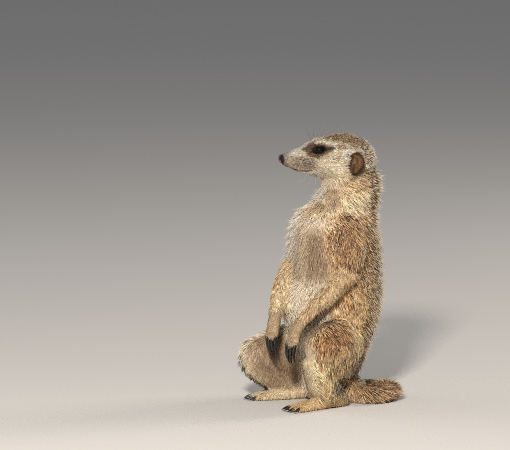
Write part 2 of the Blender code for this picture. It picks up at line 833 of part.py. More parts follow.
def finish(pieces):
    """Gives each piece its material and puts it in the collection."""
    collection = bpy.data.collections.new("meerkat")
    bpy.context.scene.collection.children.link(collection)
    materials = {name: make_material(name, *looks) for name, looks in MATERIALS.items()}
    for piece in pieces:
        kind = next(kind for start, kind in MATERIAL_OF if piece.name.startswith(start))
        settle(piece)
        piece.data.materials.clear()
        piece.data.materials.append(materials[kind])
        piece.data.shade_smooth()
        piece.data.set_sharp_from_angle(angle=SMOOTH_BELOW)
        for user in list(piece.users_collection):
            user.objects.unlink(piece)
        collection.objects.link(piece)


def main():
    for obj in list(bpy.data.objects):
        bpy.data.objects.remove(obj, do_unlink=True)
    body = whole_animal()
    pieces = []
    for side in SIDES:
        pieces += part_arm(body, side)
        pieces += part_leg(body, side)
    pieces += part_tail(body)
    head, neck, trunk = part_trunk(body)
    pieces += [neck, *trunk, *part_head(head, neck)]
    centre(pieces)
    finish(pieces)


main()
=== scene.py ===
"""A still, life-size meerkat: one skin with a coat of solid tufts, eyes, nose, claws and whiskers.

It stands on the frame of the CAD part. Lengths are in millimetres until a mesh is made. +Z is up,
-Y is the way the chest faces and +X is the animal's left.
"""
import math
from types import SimpleNamespace

import bmesh
import bpy
import numpy as np
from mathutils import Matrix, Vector
from mathutils.bvhtree import BVHTree
from mathutils.kdtree import KDTree


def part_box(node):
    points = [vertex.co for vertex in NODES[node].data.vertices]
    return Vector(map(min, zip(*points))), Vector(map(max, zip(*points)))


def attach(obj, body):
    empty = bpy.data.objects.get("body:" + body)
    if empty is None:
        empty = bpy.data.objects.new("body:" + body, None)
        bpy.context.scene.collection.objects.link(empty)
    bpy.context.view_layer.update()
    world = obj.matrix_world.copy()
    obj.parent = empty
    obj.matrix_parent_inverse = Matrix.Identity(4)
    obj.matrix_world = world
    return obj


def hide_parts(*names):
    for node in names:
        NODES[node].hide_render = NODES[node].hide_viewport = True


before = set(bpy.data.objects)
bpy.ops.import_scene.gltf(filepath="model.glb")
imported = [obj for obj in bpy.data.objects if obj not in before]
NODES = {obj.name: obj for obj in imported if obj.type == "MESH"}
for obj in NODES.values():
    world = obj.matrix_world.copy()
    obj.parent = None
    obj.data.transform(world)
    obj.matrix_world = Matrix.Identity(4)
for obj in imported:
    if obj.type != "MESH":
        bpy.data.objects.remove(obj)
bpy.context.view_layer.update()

MM = 0.001
SEED = 11
rng = np.random.default_rng(SEED)
SIDES = (("left", 1.0), ("right", -1.0))

# ---------------------------------------------------------------- small helpers

def size_of(v):
    return np.linalg.norm(v, axis=-1)


def unit(v):
    return v / np.maximum(size_of(v)[..., None], 1e-9)


def dot(a, b):
    return (a * b).sum(-1)


def ramp(x, low, high):
    """0 below low, 1 above high, smooth between. With low above high it falls instead."""
    t = np.clip((x - low) / (high - low), 0.0, 1.0)
    return t * t * (3.0 - 2.0 * t)


def bell(x, width):
    """1 where x is 0, falling away smoothly on both sides."""
    return np.exp(-((x / width) ** 2))


def mix(a, b, t):
    """a where t is 0, b where it is 1. One t for each row mixes whole rows of three."""
    a, b, t = np.asarray(a, float), np.asarray(b, float), np.asarray(t, float)
    if t.ndim and (a.shape[-1:] == (3,) or b.shape[-1:] == (3,)):
        t = t[..., None]
    return a * (1.0 - t) + b * t


def on_line(x, line):
    """The height at x of a line that is given as a list of points."""
    return np.interp(x, *zip(*line))


def srgb(*values):
    """A colour, given from 0 to 255, as the linear colour that a shader takes."""
    c = np.array(values) / 255.0
    return np.where(c < 0.04045, c / 12.92, ((c + 0.055) / 1.055) ** 2.4)


def box_of(name):
    low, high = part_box(name)
    return np.array(low) / MM, np.array(high) / MM


def middle(name):
    return sum(box_of(name)) / 2.0


def named(prefix):
    return sorted(n for n in NODES if n.startswith(prefix))


# ---------------------------------------------------------------- places on the head

EYES = {side: middle("eye_" + side) for side, _ in SIDES}
EYE_RADIUS = float(np.ptp(np.array(box_of("eye_left")), axis=0).mean() / 2)
UP = np.array((0.0, 0.0, 1.0))
HEAD_LEFT = unit(EYES["left"] - EYES["right"])
HEAD_BACK = np.cross(UP, HEAD_LEFT)
EYE_BACK, EYE_UP = 37.0, 8.6
NOSE_TIP = (EYES["left"] + EYES["right"]) / 2 - HEAD_BACK * EYE_BACK - UP * EYE_UP
HEAD_AXES = np.array((HEAD_BACK, HEAD_LEFT, UP))


def in_head(points):
    """Points as back from the nose tip, to the left and up."""
    return (points - NOSE_TIP) @ HEAD_AXES.T


def from_head(places):
    return np.asarray(places, float) @ HEAD_AXES + NOSE_TIP


# ---------------------------------------------------------------- meshes as arrays

def read(items, field, width, kind=np.float32):
    """A field of all these mesh items, as an array with this many columns."""
    values = np.empty(len(items) * width, kind)
    items.foreach_get(field, values)
    return values.reshape(-1, width)


def arrays_of(mesh):
    mesh.calc_loop_triangles()
    points = read(mesh.vertices, "co", 3).astype(float) / MM
    return points, read(mesh.loop_triangles, "vertices", 3, np.int32)


def mesh_of(name, points, faces):
    """A mesh from points in millimetres and faces that all have the same number of corners."""
    faces = np.asarray(faces, np.int32)
    mesh = bpy.data.meshes.new(name)
    mesh.vertices.add(len(points))
    mesh.vertices.foreach_set("co", (np.asarray(points) * MM).astype(np.float32).ravel())
    mesh.loops.add(faces.size)
    mesh.loops.foreach_set("vertex_index", faces.ravel())
    mesh.polygons.add(len(faces))
    mesh.polygons.foreach_set("loop_start", np.arange(0, faces.size, faces.shape[1], dtype=np.int32))
    mesh.polygons.foreach_set("use_smooth", np.ones(len(faces), bool))
    mesh.update(calc_edges=True)
    return mesh


def quads_between(rings, around):
    """Faces between this many rings of this many points, from the first ring to the last."""
    ring = [(c, (c + 1) % around) for c in range(around)]
    first = [(a + r * around, b + r * around) for r in range(rings - 1) for a, b in ring]
    return [(a, b, b + around, a + around) for a, b in first]


def in_triangles(quads):
    return [three for a, b, c, d in quads for three in ((a, b, c), (a, c, d))]


def object_of(name, mesh, material=None):
    obj = bpy.data.objects.new(name, mesh)
    bpy.context.scene.collection.objects.link(obj)
    if material:
        mesh.materials.append(material)
    return obj


def modified(points, faces, kind, chosen=None, **settings):
    """The mesh with one of Blender's modifiers applied, on the chosen points or on them all."""
    obj = object_of("skin_source", mesh_of("skin_source", points, faces))
    modifier = obj.modifiers.new(kind, kind)
    for key, value in settings.items():
        setattr(modifier, key, value)
    if chosen is not None:
        group = obj.vertex_groups.new(name="chosen")
        for weight in (0.0, 1.0):
            group.add(np.flatnonzero(chosen == (weight > 0.5)).tolist(), weight, "REPLACE")
        modifier.vertex_group = group.name
    evaluated = obj.evaluated_get(bpy.context.evaluated_depsgraph_get())
    made = arrays_of(evaluated.to_mesh())
    evaluated.to_mesh_clear()
    bpy.data.objects.remove(obj)
    return made


def refined(points, faces, chosen):
    """The chosen triangles and those that share an edge with them cut finer."""
    mesh = bmesh.new()
    holder = mesh_of("skin_source", points, faces)
    mesh.from_mesh(holder)
    mesh.faces.ensure_lookup_table()
    edges = {edge for index in chosen for edge in mesh.faces[index].edges}
    bmesh.ops.subdivide_edges(mesh, edges=list(edges), cuts=1, use_grid_fill=True)
    bmesh.ops.triangulate(mesh, faces=mesh.faces[:])
    mesh.to_mesh(holder)
    mesh.free()
    made = arrays_of(holder)
    bpy.data.meshes.remove(holder)
    return made


def gathered(values, faces, count):
    """For each of this many points, the sum of the values of the triangles round it, made one long."""
    total = np.zeros((count, 3))
    for k in range(3):
        for axis in range(3):
            total[:, axis] += np.bincount(faces[:, k], values[:, axis], count)
    return unit(total)


def normals_of(points, faces):
    a, b, c = (points[faces[:, k]] for k in range(3))
    return gathered(np.cross(b - a, c - a), faces, len(points))


def edges_of(faces):
    ends = np.concatenate([faces[:, [0, 1]], faces[:, [1, 2]], faces[:, [2, 0]]])
    return np.unique(np.sort(ends, axis=1), axis=0)


def averaged(values, edges):
    """Each point's value taken from the mean of its neighbours."""
    flat = values.reshape(len(values), -1)
    total = np.zeros_like(flat)
    for axis in range(flat.shape[1]):
        for a, b in ((0, 1), (1, 0)):
            total[:, axis] += np.bincount(edges[:, a], flat[edges[:, b], axis], len(flat))
    count = np.bincount(edges.ravel(), minlength=len(flat))
    return (total / np.maximum(count, 1)[:, None]).reshape(values.shape)


def blurred(values, edges, times):
    for _ in range(times):
        values = 0.3 * values + 0.7 * averaged(values, edges)
    return values


def taubin(points, edges, times, amount):
    """Smooths small steps away without shrinking the form. amount is 0 to 1 for each point."""
    for _ in range(times):
        for step in (0.5, -0.52):
            points = points + (averaged(points, edges) - points) * (step * amount)[:, None]
    return points


def tree_of(points, faces):
    """A search tree that finds the nearest place on a mesh and the triangle it lies in."""
    return BVHTree.FromPolygons(points.tolist(), faces.tolist())


# ---------------------------------------------------------------- the skin

# For each kind of flesh: coat depth, hair length, hair width, tufts per square mm, lift in degrees
# and how much the tufts clump
COAT = {
    "head": (0.9, 4.2, 0.58, 2.8, 13, 0.30),
    "lower_jaw": (0.8, 3.8, 0.56, 2.8, 12, 0.25),
    "ear": (0.3, 2.4, 0.40, 2.6, 18, 0.10),
    "neck": (2.8, 9.0, 0.66, 1.8, 24, 0.50),
    "chest": (3.0, 10.0, 0.70, 1.7, 24, 0.50),
    "abdomen": (3.2, 11.0, 0.72, 1.7, 24, 0.55),
    "pelvis": (3.4, 12.0, 0.76, 1.6, 24, 0.55),
    "upper_arm": (2.7, 9.0, 0.68, 1.8, 22, 0.50),
    "forearm": (1.4, 6.4, 0.58, 2.4, 13, 0.40),
    "hand": (0.6, 3.8, 0.50, 2.8, 10, 0.20),
    "thigh": (2.8, 10.5, 0.74, 1.6, 21, 0.55),
    "shank": (1.8, 8.0, 0.64, 2.0, 15, 0.45),
    "foot": (0.8, 4.6, 0.54, 2.5, 10, 0.20),
    "tail": (3.0, 11.0, 0.60, 1.8, 10, 0.35),
}
FLESH = [n for n in NODES if n.startswith(tuple(COAT))]
FILLED = FLESH + named("eye_") + ["nose"]
# How much thinner the coat is on the front of the trunk, as a share of its depth
FRONT_THINNER = 0.45
# How far the CAD forms are grown before they are joined, so that they overlap, and the cell size of
# the remesh that joins them
GROWN, VOXEL = 0.3, 0.95
# Away from the head, the hands and the feet, this share of the skin's triangles is kept
BODY_KEPT = 0.30
# How much further the skin sinks under the nose pad, and how close it may come to the floor
UNDER_NOSE, ABOVE_FLOOR = 1.3, 0.15
# The rounds of cutting the skin finer: how far round each eye, and how far back on the face
FINER = ((10.0, 36.0), (8.0, 0.0))


def source_mesh():
    """The meshes of the nodes that the skin covers, and the node that each triangle comes from."""
    points, faces, owner, base = [], [], [], 0
    for index, name in enumerate(FILLED):
        p, t = arrays_of(NODES[name].data)
        points.append(p)
        faces.append(t + base)
        owner += [index] * len(t)
        base += len(p)
    return np.concatenate(points), np.concatenate(faces), np.array(owner)


# Eye opening: half width, half height above and below, tilt up towards the back, lid thickness
OPENING, EYE_TILT, LID = (5.3, 2.9, 2.6), math.radians(7.0), 0.45
# Which way an eye looks: out to its side, back and up
EYE_OUT = (0.96, -0.16, 0.12)
# In widths of the opening, how far out the lids end, and the crease in them: place, width and depth
LIDS_FROM, LIDS_TO, LID_CREASE = 1.2, 2.4, (1.62, 0.13, 0.35)
# How far out the skin behind the eyeball lies, as a share of its radius
SOCKET = 0.35


def eye_axes(sign):
    """Along the eye's opening towards the back, up across it, and out of it."""
    outward = unit(sign * HEAD_LEFT * EYE_OUT[0] + HEAD_BACK * EYE_OUT[1] + UP * EYE_OUT[2])
    along = unit(HEAD_BACK - outward * dot(HEAD_BACK, outward))
    upward = sign * np.cross(outward, along)
    level, tilted = math.cos(EYE_TILT), math.sin(EYE_TILT)
    return np.array((along * level + upward * tilted, upward * level - along * tilted, outward))


EYE_AXES = {side: eye_axes(sign) for side, sign in SIDES}


def in_eye(points, side):
    """Points as along the opening, up and outward from the eyeball's middle, and how far out from
    the opening's middle they lie, where 1 is the edge of the lids."""
    a, b, c = ((points - EYES[side]) @ axis for axis in EYE_AXES[side])
    half = np.where(b > 0, OPENING[1], OPENING[2])
    return a, b, c, np.sqrt((a / OPENING[0]) ** 2 + (b / half) ** 2)


def shape_lids(points):
    """Sinks the skin behind the eyeball inside the opening and wraps it over the ball outside it."""
    crease, crease_wide, crease_deep = LID_CREASE
    for side, _ in SIDES:
        a, b, c, reach = in_eye(points, side)
        near = (c > 0) & (reach < LIDS_TO)
        ball = np.sqrt(np.maximum((EYE_RADIUS + LID) ** 2 - a**2 - b**2, 0.0))
        lid = np.maximum(ball, c - 0.2) * ramp(reach, LIDS_TO, LIDS_FROM)
        lid = lid + c * ramp(reach, LIDS_FROM, LIDS_TO)
        lid = lid - crease_deep * bell(reach - crease, crease_wide)
        shaped = mix(np.full(len(points), EYE_RADIUS * SOCKET), lid, ramp(reach, 0.93, 1.05))
        points = np.where(near[:, None], points + EYE_AXES[side][2] * (shaped - c)[:, None], points)
    return points


# The groove of the mouth, its width and depth, and the lip: how far above, its width and height
GROOVE, LIP = (0.55, 0.9), (1.5, 1.0, 0.35)
# The mouth line as back and up from the nose tip
MOUTH_LINE = [(3.5, -7.2), (11.0, -9.4), (18.0, -11.2), (26.0, -11.4), (32.0, -9.2)]


def mouth_distance(places):
    """How far each place, in the head's frame, lies above the mouth line, and how far along it is."""
    back, _, up = places.T
    return up - on_line(back, MOUTH_LINE), ramp(back, 2.0, 6.0) * ramp(back, 34.0, 30.0)


def shape_mouth(points, normals):
    above, inside = mouth_distance(in_head(points))
    groove = bell(above, GROOVE[0]) * inside
    lip = bell(above - LIP[0], LIP[1]) * inside
    return points + normals * (LIP[2] * lip - GROOVE[1] * groove)[:, None]


def make_skin():
    """The skin's points and triangles, and for each point its node and its row of COAT.

    The CAD forms are joined, smoothed, sunk by the depth of the coat and cut finer on the face."""
    source, triangles, owner = source_mesh()
    grown = source + normals_of(source, triangles) * GROWN
    points, faces = modified(grown, triangles, "REMESH", mode="VOXEL", voxel_size=VOXEL * MM)
    edges = edges_of(faces)
    kinds = [next((k for k in COAT if n in FLESH and n.startswith(k)), "head") for n in FILLED]
    rows = np.array([COAT[k] for k in kinds])
    tree = tree_of(source, triangles)

    def nearest_node():
        return np.array([owner[tree.find_nearest(Vector(p))[2]] for p in points])

    def of_kind(*wanted):
        return np.array([k in wanted for k in kinds])[belongs].astype(float)

    belongs = nearest_node()
    not_ears = 1.0 - of_kind("ear")
    points = taubin(points, edges, 6, np.ones(len(points)))
    points = taubin(points, edges, 26, blurred(not_ears, edges, 4))
    front = ramp(-blurred(normals_of(points, faces), edges, 20)[:, 1], 0.1, 0.7)
    front = front * of_kind("neck", "chest", "abdomen", "pelvis", "upper_arm")
    depth = blurred(rows[belongs, 0] * (1 - FRONT_THINNER * front), edges, 60) + GROWN
    back, _, up = in_head(points).T
    thin_nose = ramp(back, 3.0, 10.0) * 0.7 + 0.3
    depth = np.where((up > -30) & (back < 12), depth * thin_nose, depth)
    depth = depth + UNDER_NOSE * blurred((np.array(FILLED)[belongs] == "nose").astype(float), edges, 2)
    points = points - normals_of(points, faces) * depth[:, None]
    points = taubin(points, edges, 4, not_ears)
    points[:, 2] = np.maximum(points[:, 2], ABOVE_FLOOR)
    coarse = of_kind("head", "lower_jaw", "ear", "hand", "foot") < 0.5
    points, faces = modified(points, faces, "DECIMATE", coarse, ratio=BODY_KEPT, vertex_group_factor=10.0)
    for reach, face_back in FINER:
        centre = points[faces].mean(axis=1)
        back, _, up = in_head(centre).T
        chosen = (back < face_back) & (np.abs(up) < 30)
        for side, _ in SIDES:
            chosen |= size_of(centre - EYES[side]) < reach
        points, faces = refined(points, faces, np.flatnonzero(chosen))
    points = shape_lids(points)
    points = shape_mouth(points, normals_of(points, faces))
    belongs = nearest_node()
    return points, faces, np.array(FILLED)[belongs], rows[belongs]


skin_points, skin_faces, skin_node, skin_rows = make_skin()
skin_edges = edges_of(skin_faces)
skin_normals = normals_of(skin_points, skin_faces)
print("skin", len(skin_faces), "triangles")

# ---------------------------------------------------------------- colours and markings

def wobble(size, seed, stretch=1.0):
    """Smooth noise over the skin, from -1 to 1 with features of about this size, from summed sine
    waves."""
    waves = np.random.default_rng(100 + seed)
    total = np.zeros(len(skin_points))
    for _ in range(7):
        way = waves.normal(size=3)
        way *= 2 * math.pi / size / size_of(way) * waves.uniform(0.6, 1.5)
        total += np.sin(skin_points * stretch @ way + waves.uniform(0, 6.28))
    return np.clip(total / 3.2, -1, 1)


WHITE = srgb(242, 235, 222)
CREAM = srgb(230, 204, 166)
PALE = srgb(214, 195, 166)
SAND = srgb(192, 164, 128)
FAWN = srgb(154, 128, 102)
STRAW = srgb(242, 192, 120)
GOLD = srgb(206, 150, 88)
AMBER = srgb(228, 176, 108)
RUST = srgb(158, 96, 48)
BROWN = srgb(96, 66, 43)
DARK = srgb(36, 27, 21)
GREY = srgb(180, 169, 152)


def shares_of_kinds(times):
    """How much each skin point belongs to each kind of flesh, blurred across their borders. What is
    no flesh, round the eyes and the nose, counts as head, the first kind."""
    own = np.array([[n.startswith(k) for k in COAT] for n in skin_node]).astype(float)
    own[~own.any(axis=1), 0] = 1.0
    return SimpleNamespace(**dict(zip(COAT, blurred(own, skin_edges, times).T)))


share = shares_of_kinds(10)
head = share.head + share.lower_jaw
trunk = share.chest + share.abdomen + share.pelvis
legs = share.thigh + share.shank
# Where each skin point is, to the animal's left and up, and in the head's frame, back from the nose
# tip, out to the side and up
left, _, high = skin_points.T
in_face = in_head(skin_points)
back, aside, up = in_face.T
out = np.abs(aside)
# Which way each skin point faces: to the left, to the rear and away from the animal's middle
facing = unit(blurred(skin_normals, skin_edges, 12))
to_left, to_rear, _ = facing.T
outward = to_left * np.where(left > 0, 1.0, -1.0)
facing_back = to_rear + 0.14 * wobble(16.0, 1) + 0.10 * wobble(5.0, 11)
dorsal = np.where(up > -20, ramp(facing_back, -0.25, 0.25), ramp(facing_back, -0.86, -0.30))
# On the side of the chest and the upper arm, the agouti coat starts along this line: height, then how
# far round from the front
SIDE_EDGE = [(95, 17.0), (104, 14.5), (128, 10.0), (148, 5.5), (168, 6.0), (178, 15.0), (190, 30.0)]
round_side = 0.707 * (np.abs(left) + skin_points[:, 1]) + 2.0 * wobble(9.0, 15)
round_side = round_side - on_line(high, SIDE_EDGE) - 16.0 * (left < -4.0)
dorsal = np.maximum(dorsal, ramp(round_side, -4.0, 5.0) * (trunk + share.upper_arm > 0.3))
spine = ramp(facing_back, 0.25, 0.8)


class Coat:
    """The fields that the skin and the coat share, one value for each skin point."""

    def __init__(self):
        self.base = np.tile(SAND, (len(skin_points), 1))
        self.band = np.zeros(len(skin_points))
        self.tip = np.zeros(len(skin_points))
        self.contrast = np.full(len(skin_points), 0.24)
        self.root = np.full(len(skin_points), 0.35)
        rows = blurred(skin_rows, skin_edges, 8)
        self.length, self.width, self.density, self.lift, self.clump = rows[:, 1:].T

    def lay(self, colour, amount, band, tip):
        """Lays a colour over the last ones, with how dark its band and how pale its tips are."""
        self.base = mix(self.base, colour, amount)
        self.band = mix(self.band, band, amount)
        self.tip = mix(self.tip, tip, amount)

    def speckle(self, contrast, where):
        """How much the tufts differ from each other in tone."""
        self.contrast = mix(self.contrast, contrast, np.clip(where, 0, 1))

    def trim(self, where, lift=0.0, **shares):
        """Raises the hair by these degrees, and changes the named fields by these shares of them."""
        self.lift = self.lift + lift * where
        for field, change in shares.items():
            setattr(self, field, getattr(self, field) * (1 + change * where))


coat = Coat()
lay = coat.lay


def spot(place, radii, full=0.55):
    """1 in the middle of an ellipsoid, out to this share of its radii, then falling to 0 at its edge."""
    return ramp(size_of((in_face - place) / radii), 1.0, full)


def on_both_sides(place, radii, full=0.55):
    return np.maximum(spot(place, radii, full), spot(np.array(place) * (1, -1, 1), radii, full))


def mark(colour, place, radii, amount, band, tip, full=0.55):
    """Lays a spot of colour on both sides of the head."""
    lay(colour, head * on_both_sides(place, radii, full) * amount, band, tip)


def beside(start, end):
    """The distance of each point from a line across the head's side, seen from the side."""
    way = np.subtract(end, start)
    from_start = np.column_stack([back, up]) - start
    t = np.clip(from_start @ way / (way @ way), 0, 1)
    return size_of(from_start - t[:, None] * way)


def paint_body():
    belly = mix(PALE, SAND, 0.35 + 0.3 * ramp(high, 175.0, 120.0))
    lay(belly, trunk + share.upper_arm, 0.0, 0.4)
    # A brown band down each side of the chest front: browner fur, and painted shade where the head's shadow
    # falls on the chest
    from_middle = np.abs(left + 4.0)
    brown_and_shade_band = ramp(from_middle, -2.0, 12.0) * ramp(from_middle, 42.0, 28.0)
    brown_and_shade_band = brown_and_shade_band * ramp(high, 90.0, 126.0) * ramp(high, 176.0, 154.0)
    lay(mix(FAWN, BROWN, 0.1), trunk * (1 - dorsal) * brown_and_shade_band * 0.95, 0.1, 0.15)
    lay(mix(CREAM, WHITE, 0.5), trunk * (1 - dorsal) * ramp(high, 122.0, 107.0) * 0.8, 0.0, 0.45)
    body = (trunk + share.upper_arm) * dorsal
    lay(mix(GOLD, AMBER, 0.3 + 0.3 * wobble(22.0, 2)), body, 0.5, 0.45)
    rusty = ramp(high, 112, 142) * ramp(high, 184, 164)
    rusty = rusty * ramp(round_side, 38.0, 18.0) * ramp(round_side, -2.0, 8.0)
    lay(mix(mix(GOLD, RUST, 0.4), BROWN, 0.58), body * (1 - spine) * rusty * 0.92, 0.7, 0.2)
    lay(mix(GOLD, CREAM, 0.4), body * spine, 0.9, 1.0)
    bars = ramp(np.sin(high / 4.6 + 1.3 * wobble(26.0, 3)), -0.1, 0.6) * ramp(high, 172, 140)
    lay(mix(BROWN, DARK, 0.3), body * spine * bars * 0.7, 0.6, 0.5)
    # Dark hair low on the back of the rump: dark fur, and painted shade where the rump is turned from the
    # light
    rump = (share.pelvis + share.thigh) * ramp(facing_back, 0.1, 0.5) * ramp(high, 52.0, 24.0)
    lay(DARK, rump * (1 - 0.6 * spine) * 0.85, 1.0, 0.6)
    coat.speckle(0.74, body)


def paint_neck():
    """A white ridge down the throat, pale fur with painted light on it, a brown band beside it as painted
    shade, then warm cream to the banded nape, and a white rim of painted light on the right front of the
    neck, chest and arms.
    """
    neck = np.clip(share.neck + share.chest * ramp(high, 172.0, 184.0), 0, 1)
    ahead = dot(facing, unit(mix((0.0, -1.0, 0.0), -HEAD_BACK, ramp(high, 165.0, 190.0))))
    ahead = ahead + 0.08 * wobble(7.0, 14)
    waves = 0.5 + 0.5 * wobble(9.0, 12, (0.6, 0.6, 1.6))
    lay(mix(mix(CREAM, AMBER, 0.45), CREAM, waves), neck, 0.3, 0.45)
    lay(AMBER, neck * spot((70, 22, -24), (12, 16, 7)) * 0.45, 0.1, 0.2)
    # A brown band just off the front of the throat: painted shade beside the lit ridge
    lay(FAWN, neck * ramp(ahead, 0.1, 0.35) * ramp(high, 174.0, 184.0) * 0.8, 0.1, 0.1)
    # The white ridge where the throat faces ahead: pale fur, brightened further as painted light
    lay(WHITE, neck * ramp(ahead, 0.62, 0.76) * 0.95, 0.0, 0.4)
    lay(mix(GOLD, SAND, 0.35), neck * ramp(facing_back, -0.15, 0.35), 1.0, 1.0)
    lay(mix(GREY, GOLD, 0.3), share.head * ramp(back, 70, 84), 0.9, 0.8)
    breast = neck * ramp(high, 194.0, 184.0) * ramp(facing @ (-0.35, -0.93, 0.1), 0.55, 0.85)
    lay(mix(PALE, SAND, 0.45), breast * 0.9, 0.0, 0.35)
    # A white rim where the neck, chest and upper arms face to the right and front: painted light
    rim = np.clip((neck + trunk + share.upper_arm) * ramp(facing @ (-0.9, -0.35, 0.2), 0.5, 0.85), 0, 1)
    lay(WHITE, rim * ramp(high, 96.0, 120.0) * 0.7, 0.0, 0.6)
    coat.speckle(0.46, neck * ramp(ahead, 0.4, 0.0))


def paint_limbs():
    below = ramp(facing @ (0.2, 0.6, -0.7), 0.0, 0.7)
    lay(mix(mix(CREAM, SAND, 0.6), GOLD, 0.25 + 0.35 * below), share.forearm, 0.2, 0.35)
    inner = ramp(-outward - 0.3 * to_rear, 0.2, 0.8)
    lay(mix(CREAM, SAND, 0.25), share.forearm * inner * 0.5, 0.05, 0.4)
    elbow = share.forearm * ramp(high, 108.0, 122.0) * ramp(to_rear, -0.7, 0.1)
    lay(mix(GOLD, AMBER, 0.4), elbow * 0.55, 0.5, 0.5)
    lay(mix(SAND, FAWN, 0.2), share.hand, 0.1, 0.25)
    outer = ramp(outward * legs + 0.12 * wobble(6.0, 13), -0.05, 0.4)
    lay(mix(FAWN, SAND, 0.08), legs, 0.1, 0.2)
    streak = 0.5 + 0.5 * wobble(6.0, 4, (1.0, 1.0, 0.3))
    lay(mix(mix(STRAW, CREAM, 0.35), GOLD, 0.38 * streak), legs * outer, 0.28, 0.5)
    knee = legs * ramp(outward * legs, 0.0, 0.6) * ramp(high, 40, 68) * ramp(high, 100, 84)
    knee = knee * ramp(skin_points[:, 1] + 5.0 * wobble(8.0, 16), 12.0, -18.0)
    knee = knee * (0.9 + 0.1 * wobble(4.0, 17))
    lay(mix(mix(RUST, GOLD, 0.22), BROWN, 0.32), knee, 0.5, 0.12)
    front = (share.shank + 0.5 * share.thigh) * ramp(-to_rear, 0.5, 0.9)
    lay(mix(PALE, CREAM, 0.75), front * 0.85, 0.05, 0.4)
    # A cream rim where the right leg faces front, right and up: painted light
    rim = legs * ramp(facing @ (-0.6, -0.5, 0.4), 0.25, 0.6) * (left < 0)
    lay(mix(CREAM, WHITE, 0.3), rim * (outward * share.thigh > -0.2) * 0.8, 0.1, 0.5)
    lay(mix(CREAM, AMBER, 0.5 * ramp(left, -8.0, 4.0)), share.foot, 0.1, 0.3)
    # Dark hair low on the back of the legs: dark fur, and painted shade under the rump
    behind = legs * ramp(facing_back, 0.14, 0.42) * ramp(high, 54, 36) * ramp(high, 8, 16)
    lay(DARK, behind * 0.92, 1.0, 0.6)
    coat.speckle(0.66, legs * outer)
    coat.speckle(0.26, legs * (1 - outer))
    coat.speckle(0.52, share.forearm)


def paint_tail():
    far = blurred((skin_node == "tail_tip").astype(float), skin_edges, 14)
    lay(mix(mix(GOLD, FAWN, 0.4), BROWN, 0.25), share.tail, 0.45, 0.4)
    lay(DARK, share.tail * ramp(far, 0.3, 0.7), 0.9, 0.0)
    coat.speckle(0.64, share.tail)


# On the head's side, as back and up from the nose tip: the lower edge of the dark crown, the creases
# between cheek and neck, where shade is painted, and the outline of the dark patch round the eye
CROWN_EDGE = [(28, 21.5), (34, 20.0), (40, 18.4), (60, 15.6), (72, 12.5), (84, 9.0)]
SHADED_CREASE = [(69.0, -13.5), (62.0, -17.0), (54.0, -20.0)]
SHADED_EAR_CREASE = [(74.0, -11.5), (74.5, -17.0), (71.5, -24.0)]
PATCH_EDGE = [(20.5, 8.6), (26.5, 13.4), (34.0, 14.8), (41.0, 14.6), (46.0, 12.4),
              (47.2, 10.0), (44.0, 6.2), (39.5, 3.2), (34.5, 0.6), (27.0, 2.8)]


def inside_of(outline):
    """How far each point is inside a closed outline on the head's side, and below 0 outside it."""
    near, crossings = np.full(len(back), 99.0), np.zeros(len(back), int)
    for start, end in zip(outline, outline[1:] + outline[:1]):
        near = np.minimum(near, beside(start, end))
        between_ends = (start[1] > up) != (end[1] > up)
        slope = (end[0] - start[0]) / (end[1] - start[1] + 1e-9)
        crossings += between_ends & (back < start[0] + (up - start[1]) * slope)
    return np.where(crossings % 2 == 1, near, -near)


def pad_places(draws, columns, first, gaps, loose, top):
    """Places in rows on the whisker pad, none of them quite in line, as back and up from the nose
    tip. gaps are from place to place, from a row's start to the next one's, and from row to row;
    top is the height where the pad ends, and its fall."""
    for row in range(6):
        for column in range(columns):
            bowed = 0.05 * (column - 3) ** 2 - 0.12 * column
            far = first[0] + gaps[0] * column + gaps[1] * (row % 2) + draws.uniform(-loose[0], loose[0])
            tall = first[1] + gaps[2] * row + bowed + draws.uniform(-loose[1], loose[1])
            if tall <= top[0] - top[1] * far:
                yield far, tall, column


def whisker_dashes():
    """Short dark dashes on the whisker pad."""
    draws = np.random.default_rng(5)
    dashes = np.zeros(len(back))
    for far, tall, _ in pad_places(draws, 8, (11.0, -7.4), (3.0, 1.5, 1.7), (1.0, 0.6), (2.6, 0.05)):
        dash = bell(back - far, draws.uniform(1.0, 1.8)) * bell(up - tall, 0.62)
        dashes = np.maximum(dashes, draws.uniform(0.45, 1.0) * dash)
    return dashes * (out > 4.0)


